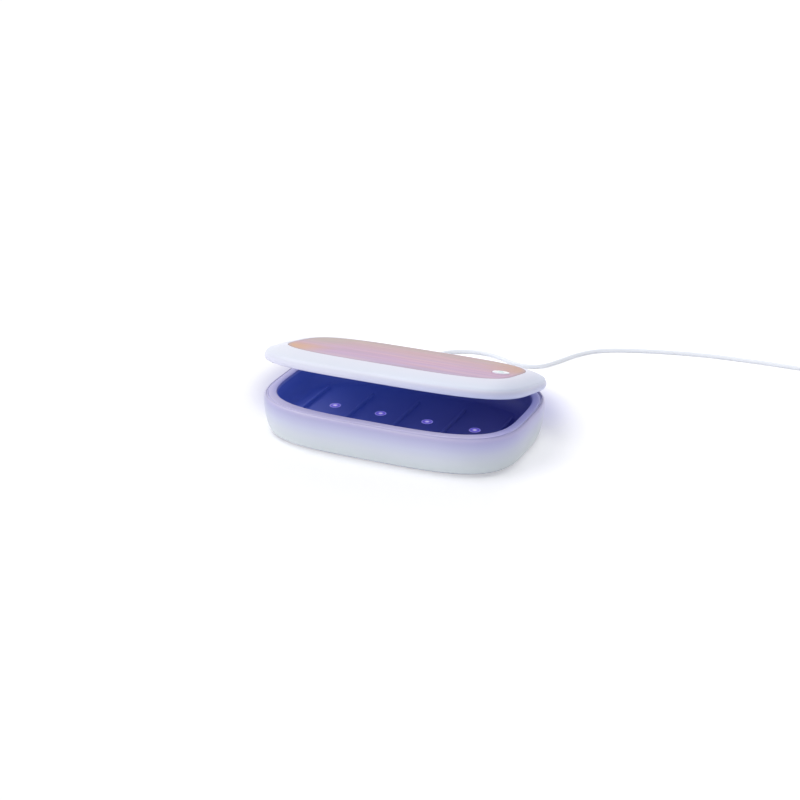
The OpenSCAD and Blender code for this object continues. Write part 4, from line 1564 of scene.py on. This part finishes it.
@dataclass
class Lid(Assembly):
    """Frame, panel, liner and windows of the lid, drawn closed and then swung open."""

    edge_z: float = 32.6
    ridge_z: float = 39.0
    ridge_h: float = 6.4
    top_z: float = 45.3
    edge_draw: float = 2.2
    wall: float = 2.2
    bezel_end: float = 15.5
    bezel_side: float = 18.5
    panel_t: float = 1.6
    panel_lap: float = 3.0
    panel_ledge_t: float = 1.4
    liner_z: float = 35.3
    liner_top: float = 36.5
    liner_rim_z: float = 33.2
    liner_in: float = 4.8
    liner_rim_t: float = 1.6
    board_z: float = 37.5
    post_r: float = 3.0
    post_in: float = 0.4
    pin_gap: float = 0.2
    bush_wall: float = 0.92
    bush_len: float = 6.0
    panel_gap: float = 0.15
    button_gap: float = 0.25
    magnet_at: Spot = (0.0, -51.0)
    magnet_r: float = 3.1
    cup_r: float = 4.0
    windows: tuple[Spot, ...] = ((-40, -26), (-40, 26), (0, -26), (0, 26), (40, -26), (40, 26))
    liner_screws: tuple[Spot, ...] = (
        (-80, -48.19), (-80, 48.19), (80, -48.19), (80, 48.19), (0, -58.5), (0, 58.5))
    board_screws: tuple[Spot, ...] = (
        (-20, -26), (-20, 26), (20, -26), (20, 26), (79.5, -9.5), (79.5, 3.5))
    wall_rows: tuple[Spot, ...] = (
        (1, 0), (0.42, 0.13), (0.12, 0.32), (0, 0.55), (0.12, 0.78), (0.45, 1))
    bezel_rows: tuple[Spot, ...] = ((0.12, 0.24), (0.4, 0.58), (0.72, 0.86), (0.96, 1.0))

    def build(self) -> None:
        """Makes and dresses every piece of the lid."""
        self.shell()
        self.panel()
        self.liner()
        self.lamp_windows()

    def shell(self) -> None:
        """Makes the frame: lower band, ridge, domed bezel, panel ledge, knuckle and bosses."""
        s = self.sizes
        n, ends, sides = s.squareness, self.bezel_end, self.bezel_side
        rise = self.top_z - self.ridge_z
        under = self.top_z - self.panel_t - self.panel_ledge_t
        panel_z = self.top_z - self.panel_t
        line = Profile(n)
        line.along([(self.edge_draw * d, self.edge_draw * d, self.edge_z + self.ridge_h * h, n)
                    for d, h in self.wall_rows]
                   + [(ends * u, sides * u, self.ridge_z + rise * h, n + (s.panel_square - n) * u)
                      for u, h in self.bezel_rows], 6)
        line.square = s.panel_square
        line.to(ends, self.top_z - 0.4, sides).to(ends, panel_z, sides)
        lap = self.panel_lap
        line.to(ends + lap, panel_z, sides + lap).to(ends + lap, under, sides + lap)
        line.square = n
        line.to(ends * 0.55, self.ridge_z + rise * 0.72 - self.wall, sides * 0.55)
        line.to(self.wall + 0.9, self.ridge_z - 0.4).to(self.edge_draw + self.wall, self.edge_z)
        made = Bench.loft("lid_frame", line.rings(s, 0.4, True), True)
        start, end = s.knuckle_len / 2, s.hinge_half + s.hinge_gap
        Bench.change(made, Bench.axles(s, s.knuckle_r + s.move_gap, start, end), Cut.AWAY)
        Bench.change(made, [Bench.axle(s, s.knuckle_r, -start, start, 0.4)], Cut.ONTO)
        Bench.change(made, [Bench.rod(p, self.post_r, self.liner_top, self.ridge_z + 2.7)
                            for p in self.liner_screws], Cut.ONTO)
        bore = Bench.axle(s, s.pin_r + self.pin_gap, -start - 1, start + 1)
        Bench.change(made, [bore], Cut.AWAY)
        holes = Bench.axles(s, s.pin_r + self.bush_wall, start - self.bush_len, start + 1)
        holes += [Bench.rod(p, s.tap_r, self.liner_top - 1, self.liner_z + 5.7)
                  for p in self.liner_screws]
        Bench.change(made, holes, Cut.AWAY)
        self.dress(self.swing(Bench.polish(made)), Body.LID, "lid", LID, "lid_shell")

    def panel(self) -> None:
        """Makes the flush panel, its edges eased, with the button's hole."""
        s = self.sizes
        ends, sides = self.bezel_end + self.panel_gap, self.bezel_side + self.panel_gap
        low, top = self.top_z - self.panel_t, self.top_z
        line = Profile(s.panel_square)
        line.to(ends + 4, low, sides + 4).to(ends, low, sides)
        line.to(ends, top, sides).to(ends + 4, top, sides + 4)
        made = Bench.loft("top_panel", line.rings(s, 0.45, False), False)
        r = s.button_r + self.button_gap
        hole = [(0, low - 1), (r, low - 1), (r, top - 0.25), (r + 0.3, top + 0.05),
                (r + 0.3, top + 1), (0, top + 1)]
        Bench.change(made, [Bench.lathe("hole", hole, s.button_at, steps=96)], Cut.AWAY)
        self.dress(self.swing(Bench.polish(made)), Body.LID, "panel", PANEL, "lid_panel")

    def liner(self) -> None:
        """Makes the chamber ceiling with its turned-down rim, lamp holes, posts and magnet cup."""
        s = self.sizes
        inner, outer = self.liner_in + self.liner_rim_t, self.liner_in
        low, top = self.liner_z, self.liner_top
        line = Profile(s.squareness).to(inner + 4, low).to(inner, low)
        line.to(inner, self.liner_rim_z).to(outer, self.liner_rim_z)
        line.to(outer, top).to(outer + 4, top)
        made = Bench.loft("ceiling", line.rings(s, 0.5, False), False)
        foot = top - self.post_in
        posts = [Bench.rod(p, s.small_post_r, foot, self.board_z) for p in self.board_screws]
        posts.append(Bench.rod(self.magnet_at, self.cup_r, foot, top + 2))
        Bench.change(made, posts, Cut.ONTO)
        holes = [Bench.rod(self.magnet_at, self.magnet_r, top, top + 3)]
        holes += [Bench.rod(p, s.window_r + s.window_gap, low - 1, top + 1) for p in self.windows]
        holes += [Bench.rod(p, s.screw_r, low - 1, top + 1) for p in self.liner_screws]
        holes += [Bench.rod(p, s.small_tap_r, 35.7, self.board_z + 1) for p in self.board_screws]
        Bench.change(made, holes, Cut.AWAY)
        self.dress(self.swing(Bench.polish(made)), Body.LID, "liner", LINER, "lid_liner")

    def lamp_windows(self) -> None:
        """Makes the clear discs in the liner."""
        made = Bench.gather(Bench.disc(p, self.sizes.window_r, self.liner_z, self.liner_top)
                            for p in self.windows)
        made.name = "ceiling_windows"
        self.dress(self.swing(Bench.polish(made)), Body.LID, "window", CEILING_WINDOW,
                   "lid_lamp_windows")


@dataclass
class Button(Assembly):
    """Button cap and the lens in it."""

    low: float = 42.5
    top: float = 46.1
    stem_r: float = 1.8
    flange: float = 0.9
    lens_r: float = 2.0
    lens_h: float = 0.8

    def build(self) -> None:
        """Makes and dresses the cap and the lens."""
        at, r, eye = self.sizes.button_at, self.sizes.button_r, self.lens_r
        low, top, seat = self.low, self.top, self.top - self.lens_h
        line = [(0, low - 0.4), (self.stem_r, low - 0.4), (self.stem_r, low),
                (r + self.flange, low), (r + self.flange, low + 1), (r, low + 1),
                (r, top - 0.75), (r - 0.18, top - 0.42), (r - 0.6, top - 0.2),
                (r - 1.6, top - 0.1), (r * 0.55, top - 0.04), (eye + 1.1, top - 0.02),
                (eye + 0.9, top - 0.14), (eye + 0.5, top - 0.14), (eye + 0.3, top - 0.01),
                (eye + 0.05, top), (eye + 0.05, seat), (0, seat)]
        cap = Bench.lathe("cap", line, at, ease=0.12, steps=96)
        self.dress(self.swing(Bench.polish(cap)), Body.BUTTON, "button", CAP, "power_button")
        line = [(0, seat), (eye, seat), (eye, top - 0.12), (eye - 0.15, top),
                (eye * 0.5, top + 0.05), (0, top + 0.06)]
        lens = Bench.lathe("cap_lens", line, at, ease=0.06)
        self.dress(self.swing(Bench.polish(lens)), Body.BUTTON, "lens", LENS, "button_lens")


@dataclass
class Inside(Assembly):
    """Boards, lamps, screws, pin, bushes, switch, sensor and magnet, as in the CAD part."""

    kept: tuple[tuple[str, Finish], ...] = (
        ("cover_screws", STEEL), ("base_lamp_board", BASE_BOARD), ("base_uv_lamps", LAMP),
        ("main_board", BASE_BOARD), ("usb_socket", STEEL), ("base_board_screws", STEEL),
        ("lid_sensor", BASE_BOARD), ("hinge_pin", STEEL), ("liner_screws", STEEL),
        ("hinge_bushes", BUSH), ("lid_lamp_boards", LID_BOARD), ("lid_uv_lamps", LAMP),
        ("button_board", LID_BOARD), ("button_switch", SWITCH), ("lid_board_screws", STEEL),
        ("lid_magnet", MAGNET), ("box_plug_shell", STEEL), ("far_plug_shell", STEEL))

    def build(self) -> None:
        """Gives each carried-over node its finish."""
        for node, finish in self.kept:
            self.keep(node, finish)


class Plugs:
    """Cross-sections that the plugs and their reliefs are lofted from."""

    @staticmethod
    def stadium(wide: float, high: float, steps: int = 24) -> np.ndarray:
        """Gives a round-ended bar's outline.

        Args:
            wide: its width.
            high: its height, which is the width of its round ends.
            steps: points round each end.

        Returns:
            The outline's points.
        """
        r, half = high / 2, (wide - high) / 2
        turn = np.linspace(-math.pi / 2, math.pi / 2, steps)
        right = np.column_stack([half + r * np.cos(turn), r * np.sin(turn)])
        return np.vstack([right, -right])

    @staticmethod
    def pillow(wide: float, high: float, square: float = 5.0, steps: int = 64) -> np.ndarray:
        """Gives a rounded rectangle's outline."""
        return outline(wide / 2, high / 2, square, steps)

    @staticmethod
    def stack(name: str, outlines: Sequence[tuple[float, np.ndarray]], at: Sequence[float],
              way: int = 1) -> Piece:
        """Lofts outlines that stand one behind the other.

        Args:
            name: the object's name.
            outlines: how far back each stands, and its outline.
            at: where the first stands.
            way: 1 to go toward the back, -1 toward the front.

        Returns:
            The closed piece.
        """
        rings = [np.column_stack([at[0] + line[:, 0], np.full(len(line), at[1] + way * back),
                                  at[2] + line[:, 1]]) for back, line in outlines]
        return Bench.loft(name, rings, False)

    @staticmethod
    def relief(name: str, at: Sequence[float], thick: float, thin: float, length: float,
               way: int = 1, rings: int = 4) -> Piece:
        """Makes a tapered strain relief with pressed rings.

        Args:
            name: the object's name.
            at: where its thick end stands.
            thick: its radius there.
            thin: its radius at the cord.
            length: its length.
            way: 1 to go toward the back, -1 toward the front.
            rings: how many rings it has.

        Returns:
            The closed piece.
        """
        outlines = []
        turn = np.linspace(0, 2 * math.pi, 40, endpoint=False)
        circle = np.column_stack([np.cos(turn), np.sin(turn)])
        for step in np.linspace(0, 1, 8 * rings + 1):
            inside = 0.04 < step < 0.96
            dip = 0.28 * max(0.0, math.sin(2 * math.pi * rings * step)) if inside else 0.0
            r = thick + (thin - thick) * step - dip
            outlines.append((length * step, r * circle))
        return Plugs.stack(name, outlines, at, way)


@dataclass
class Cord(Assembly):
    """Charging cord: its lead, coil and tail as one line, and the two plugs."""

    diameter: float = 3.5
    plug_face: float = 66.7
    plug_w: float = 11.0
    plug_h: float = 6.6
    plug_len: float = 19.0
    relief_len: float = 8.0
    relief_in: float = 0.4
    relief_end: float = 0.4
    route: tuple[Point, ...] = (
        (-44, 105, 7), (-44, 119, 3.4), (-44, 133, 1.8), (-43, 147, 1.8), (-38, 160, 1.8),
        (-28.5, 171, 1.8), (-14.5, 177.5, 1.8), (1, 178.5, 1.8), (15, 174.5, 1.8), (29, 168, 1.8),
        (43, 165.4, 1.8), (55, 171, 1.8), (64, 186, 1.8), (73.5, 206.5, 1.8), (85, 222, 1.8),
        (100, 232, 1.8), (118, 239, 1.8), (138, 245, 1.8), (160, 250, 1.8), (182, 253.5, 1.8),
        (204, 255, 1.8), (226, 256, 1.8), (248, 256, 1.8), (268, 256, 1.8))
    lead_end: Point = (296, 256, 2.25)
    coil_r: float = 25.0
    coil_pitch: float = 4.2
    coil_climb: float = 4.1
    coil_low: float = 2.25
    coil_loops: float = 4.25
    tail_len: float = 24.0
    tail_low: float = 3.8
    far_w: float = 15.6
    far_h: float = 7.6
    far_len: float = 22.0
    tie_turn: float = 225.0
    tie_mid: Spot = (20.175, 4.3)
    tie_size: Spot = (9.5, 8.6)
    tie_wid: float = 6.0
    tie_t: float = 0.4
    tie_ease: float = 0.15

    @property
    def lead_start(self) -> Point:
        """Where the cord leaves the relief of the plug in the box."""
        s = self.sizes
        return (s.socket_x, self.plug_face + self.plug_len + self.relief_len, s.socket_z)

    @property
    def coil_at(self) -> Spot:
        """The centre of the coil."""
        return (self.lead_end[0] + self.diameter, self.lead_end[1] - self.coil_r)

    @property
    def far_start(self) -> Point:
        """Where the cord enters the relief of the far plug."""
        x, y = self.coil_at
        return (x + self.coil_r, y - self.tail_len - self.diameter, self.tail_low)

    def coil_point(self, turn: float) -> Point:
        """Gives a point on the coil, which spirals in, climbs and spirals out.

        Args:
            turn: degrees from the coil's start.

        Returns:
            The point.
        """
        half = self.coil_loops * 180
        r = self.coil_r - self.coil_pitch * (half - abs(turn - half)) / 360
        u = min(1.0, max(0.0, (turn - half + 90) / 180))
        z = self.coil_low + self.coil_climb * u * u * (3 - 2 * u)
        a = math.radians(90 - turn)
        return (self.coil_at[0] + r * math.cos(a), self.coil_at[1] + r * math.sin(a), z)

    def points(self) -> list[Point]:
        """Gives the cord's whole route, from the box's plug to the far one.

        Returns:
            The points in order.
        """
        x, y, z = self.lead_start
        turns = round(self.coil_loops * 24)
        coil = [self.coil_point(360 * self.coil_loops * i / turns) for i in range(turns + 1)]
        high = self.coil_low + self.coil_climb
        tail = []
        for i in range(1, 6):
            u = i / 5
            tail.append((self.far_start[0], self.coil_at[1] - self.tail_len * u,
                         high + (self.tail_low - high) * u * u * (3 - 2 * u)))
        return [(x, y, z), (x, y + self.diameter, z), *self.route, self.lead_end,
                *coil, *tail, self.far_start]

    def build(self) -> None:
        near, far, tie = self.near_plug(), self.far_plug(), self.strap()
        data = bpy.data.curves.new("charging_cord", "CURVE")
        data.dimensions = "3D"
        data.bevel_depth = self.diameter / 2 * MM
        data.bevel_resolution = 5
        data.resolution_u = 6
        data.use_fill_caps = True
        line = [Vector(p) * MM for p in self.points()]
        spline = data.splines.new("BEZIER")
        spline.bezier_points.add(len(line) - 1)
        for i, (point, here) in enumerate(zip(spline.bezier_points, line)):
            step = (line[min(i + 1, len(line) - 1)] - line[max(i - 1, 0)]) / HANDLE
            point.co = here
            point.handle_left_type = point.handle_right_type = "FREE"
            point.handle_left, point.handle_right = here - step, here + step
        made = Bench.place("charging_cord", data)
        self.dress(made, Body.BASE, "cord", SHEATH, "cord_lead", "cord_coil")

    def near_plug(self) -> Piece:
        """Makes the plug in the box: a round-ended body with grip dimples, and its relief.

        Returns:
            The plug.
        """
        steps = [(0.0, 0.9), (0.25, 0.35), (0.8, 0.0), (5.0, 0.0), (5.5, 0.22), (13.0, 0.22),
                 (13.5, 0.0), (18.0, 0.0), (18.7, 0.4), (19.0, 1.0)]
        x, y, z = self.sizes.socket_x, self.plug_face, self.sizes.socket_z
        shapes = [(back, Plugs.stadium(self.plug_w - 2 * d, self.plug_h - 2 * d))
                  for back, d in steps]
        body = Plugs.stack("near_plug", shapes, (x, y, z))
        relief = Plugs.relief("relief", (x, y + self.plug_len - self.relief_in, z), thick=2.8,
                              thin=self.diameter / 2 + self.relief_end,
                              length=self.relief_len + self.relief_in)
        Bench.change(body, [relief], Cut.ONTO)
        return self.dress(Bench.polish(body), Body.BASE, "cord", SHEATH, "box_plug")

    def far_plug(self) -> Piece:
        """Makes the far plug: a rounded body with grip dimples, and its relief.

        Returns:
            The plug.
        """
        x, y, z = self.far_start
        front = (x, y - self.relief_len - self.far_len, z)
        steps = [(0.0, 1.0), (0.3, 0.35), (1.0, 0.0), (5.0, 0.0), (5.6, 0.25), (16.0, 0.25),
                 (16.6, 0.0), (20.6, 0.0), (21.5, 0.5), (22.0, 1.3)]
        shapes = [(back, Plugs.pillow(self.far_w - 2 * d, self.far_h - 2 * d))
                  for back, d in steps]
        body = Plugs.stack("far_plug_body", shapes, front)
        relief = Plugs.relief("relief", (x, y - self.relief_len - self.relief_in, z), thick=3.0,
                              thin=self.diameter / 2 + self.relief_end,
                              length=self.relief_len + self.relief_in)
        Bench.change(body, [relief], Cut.ONTO)
        return self.dress(Bench.polish(body), Body.BASE, "cord", SHEATH, "far_plug")

    def strap(self) -> Piece:
        """Makes the soft strap that holds the coil: a flat band, its lapped end and its stud.

        Returns:
            The strap.
        """
        edge, (mid, height) = self.tie_wid / 2, self.tie_mid
        top = height + self.tie_size[1] / 2
        flat = edge - self.tie_ease
        rings = []
        for along, share in ((-flat, 0), (flat, 0), (edge, 0.3), (edge, 0.7),
                             (flat, 1), (-flat, 1), (-edge, 0.7), (-edge, 0.3)):
            slim = 2 * share * self.tie_t
            line = Plugs.pillow(self.tie_size[0] - slim, self.tie_size[1] - slim)
            rings.append(np.column_stack([mid + line[:, 0], np.full(len(line), along),
                                          height + line[:, 1]]))
        band = Bench.loft("coil_strap", rings, True)
        lap = Bench.block((mid - 3.2, 0.6 - edge, top - 0.2),
                          (mid + 2.7, edge - 0.6, top + 0.35), self.tie_ease)
        Bench.change(band, [lap], Cut.ONTO)
        head = [(0, top), (0.9, top), (0.9, top + 0.4), (1.7, top + 0.45), (1.7, top + 0.55),
                (1.35, top + 0.69), (0, top + 0.7)]
        stud = Bench.lathe("stud", head, (mid, 0), ease=0.06, steps=40)
        Bench.change(band, [stud], Cut.ONTO)
        x, y = self.coil_at
        band.data.transform(Matrix.Translation(Vector((x, y, 0)) * MM)
                            @ Matrix.Rotation(math.radians(self.tie_turn), 4, "Z"))
        return self.dress(Bench.polish(band), Body.BASE, "tie", STRAP, "cord_tie")


@dataclass(frozen=True)
class Cast:
    """Painted violet light and painted shade on the table beside one end of the box, an oval that
    fades outward.
    """

    centre: Spot
    radii: Spot
    reach: Spot
    rise: Spot
    fall: Spot
    tint: Colour
    halo: Spot = (1.30, 1.02)
    core: Spot = (1.08, 0.84)
    halo_part: float = 0.36

    def share(self, sheet: Recipe) -> Socket:
        """Gives how much of the cast lies on each point of the table.

        Args:
            sheet: the table's finish.

        Returns:
            The share, from 0 to 1.
        """
        spots = [sheet.spot(Axis.X), sheet.spot(Axis.Y)]
        squares = []
        for spot, middle, radius in zip(spots, self.centre, self.radii):
            off = sheet.math("DIVIDE", sheet.math("SUBTRACT", spot, middle), radius)
            squares.append(sheet.math("MULTIPLY", off, off))
        out = sheet.math("SQRT", sheet.math("ADD", *squares))
        halo = sheet.math("MULTIPLY", sheet.share(out, *self.halo), self.halo_part)
        part = sheet.vary(halo, sheet.share(out, *self.core), 1 - self.halo_part)
        for spot, limits in zip((spots[0], spots[1], spots[1]), (self.reach, self.rise, self.fall)):
            part = sheet.math("MULTIPLY", part, sheet.share(spot, *limits))
        return part


@dataclass(frozen=True)
class TableTop:
    """Pale table with painted violet light and painted shade beside the ends of the box, and
    painted light that softens the contact shade under its edge.
    """

    name: str = "table_top"
    colour: Colour = paint(250, 250, 252)
    lift: float = 0.11
    far_lift: float = 0.19
    far_run: Spot = (0.02, 0.10)
    # painted light: the floor under the box's edge is lifted so its contact shade looks lighter
    contact_light_lift: float = 0.44
    contact_light_run: Spot = (0.965, 0.89)
    # painted violet light and painted shade beside the left and right ends of the box
    casts: tuple[Cast, ...] = (
        Cast((-0.060, 0.070), (0.096, 0.096), (-0.075, -0.115), (-0.20, -0.10), (0.135, 0.085),
             paint(206, 205, 226), core=(1.16, 0.82), halo_part=0.0),
        Cast((0.0, 0.0), (0.1224, 0.1707), (0.030, 0.075), (0.015, 0.090), (0.17, 0.10),
             paint(180, 180, 206)))

    def make(self) -> Material:
        """Makes the material, which looks a little brighter than it lights.

        Returns:
            The material.
        """
        sheet = Recipe(self.name)
        cast: object = self.colour
        for one in self.casts:
            # painted light and shade of the casts
            cast = sheet.blend(one.share(sheet), cast, one.tint)
        sheet.put(Base_Color=cast, Roughness=0.9, Specular_IOR_Level=0.1, Emission_Color=cast)
        path = sheet.add("ShaderNodeLightPath")
        seen = sheet.math("MAXIMUM", path.outputs["Is Camera Ray"], path.outputs["Is Glossy Ray"])
        seen = sheet.math("MAXIMUM", seen, path.outputs["Is Transmission Ray"])
        corner = sheet.math("ADD", sheet.spot(Axis.X), sheet.spot(Axis.Y))
        lift = sheet.vary(self.lift, sheet.share(corner, *self.far_run), self.far_lift)
        # painted light under the box's edge
        out = sheet.rim_share(*BOX_OUTLINE)
        lift = sheet.vary(lift, sheet.share(out, *self.contact_light_run), self.contact_light_lift)
        sheet.put(Emission_Strength=sheet.math("MULTIPLY", seen, lift))
        return sheet.material


@dataclass
class Studio:
    """Camera, key light, table and sky."""

    azimuth: float = 23.87
    elevation: float = 23.32
    distance: float = 1.26801
    look_at: Point = (0.0, 0.0, 0.020)
    lens: float = 72.72
    shift: Spot = (-0.0047, 0.0101)
    key_from: Point = (-0.80, -0.30, 1.20)
    key_power: float = 1.25
    key_spread: float = 48.0
    sky_light: float = 0.66
    sky_tint: Colour = (0.98, 0.985, 1.0, 1.0)
    sky_seen: Colour = (1.0, 1.0, 1.0, 1.0)
    table_half: float = 6000.0

    def camera(self) -> None:
        """Sets the camera at the photograph's viewing angle."""
        a, e = math.radians(self.azimuth), math.radians(self.elevation)
        back = Vector((math.sin(a) * math.cos(e), -math.cos(a) * math.cos(e), math.sin(e)))
        data = bpy.data.cameras.new("camera")
        data.sensor_width = 36.0
        data.lens = self.lens
        data.shift_x, data.shift_y = self.shift
        data.clip_start, data.clip_end = 0.05, 50.0
        made = Bench.place("camera", data)
        made.location = Vector(self.look_at) + back * self.distance
        made.rotation_euler = (-back).to_track_quat("-Z", "Y").to_euler()
        bpy.context.scene.camera = made

    def key(self) -> None:
        """Adds the broad, soft key light, which falls from the upper left."""
        data = bpy.data.lights.new("key", "SUN")
        data.energy = self.key_power
        data.angle = math.radians(self.key_spread)
        made = Bench.place("key", data)
        made.location = self.key_from
        made.rotation_euler = (-Vector(self.key_from)).to_track_quat("-Z", "Y").to_euler()

    def sky(self) -> None:
        """Sets an even sky, which is white to the eye and in reflections."""
        world = bpy.data.worlds.new("sky")
        world.use_nodes = True
        bpy.context.scene.world = world
        tree = world.node_tree
        light = tree.nodes["Background"]
        light.inputs["Color"].default_value = self.sky_tint
        light.inputs["Strength"].default_value = self.sky_light
        seen = tree.nodes.new("ShaderNodeBackground")
        seen.inputs["Color"].default_value = self.sky_seen
        seen.inputs["Strength"].default_value = 1.0
        path = tree.nodes.new("ShaderNodeLightPath")
        share = path.outputs["Is Camera Ray"]
        for ray in ("Is Glossy Ray", "Is Transmission Ray"):
            either = tree.nodes.new("ShaderNodeMath")
            either.operation = "MAXIMUM"
            tree.links.new(share, either.inputs[0])
            tree.links.new(path.outputs[ray], either.inputs[1])
            share = either.outputs[0]
        mix = tree.nodes.new("ShaderNodeMixShader")
        tree.links.new(share, mix.inputs[0])
        tree.links.new(light.outputs[0], mix.inputs[1])
        tree.links.new(seen.outputs[0], mix.inputs[2])
        tree.links.new(mix.outputs[0], tree.nodes["World Output"].inputs[0])

    def table(self) -> None:
        """Lays the pale table."""
        half = self.table_half
        corners = [[-half, -half, 0], [half, -half, 0], [half, half, 0], [-half, half, 0]]
        made = Bench.piece("table", np.array(corners), [(0, 1, 2, 3)])
        made.data.materials.append(TableTop().make())

    def build(self) -> None:
        """Sets up everything but the box."""
        self.camera()
        self.table()
        self.sky()
        self.key()
        bpy.context.scene.view_settings.view_transform = "Standard"


def main() -> None:
    """Builds the scene in order."""
    logging.basicConfig(level=logging.INFO, format="%(message)s")
    sizes, finishes = BoxSizes(), Finishes()
    Studio().build()
    for assembly in (Cord, Base, Lid, Button, Inside):
        assembly(sizes, finishes).build()
    bpy.context.view_layer.update()


if __name__ == "__main__":
    main()
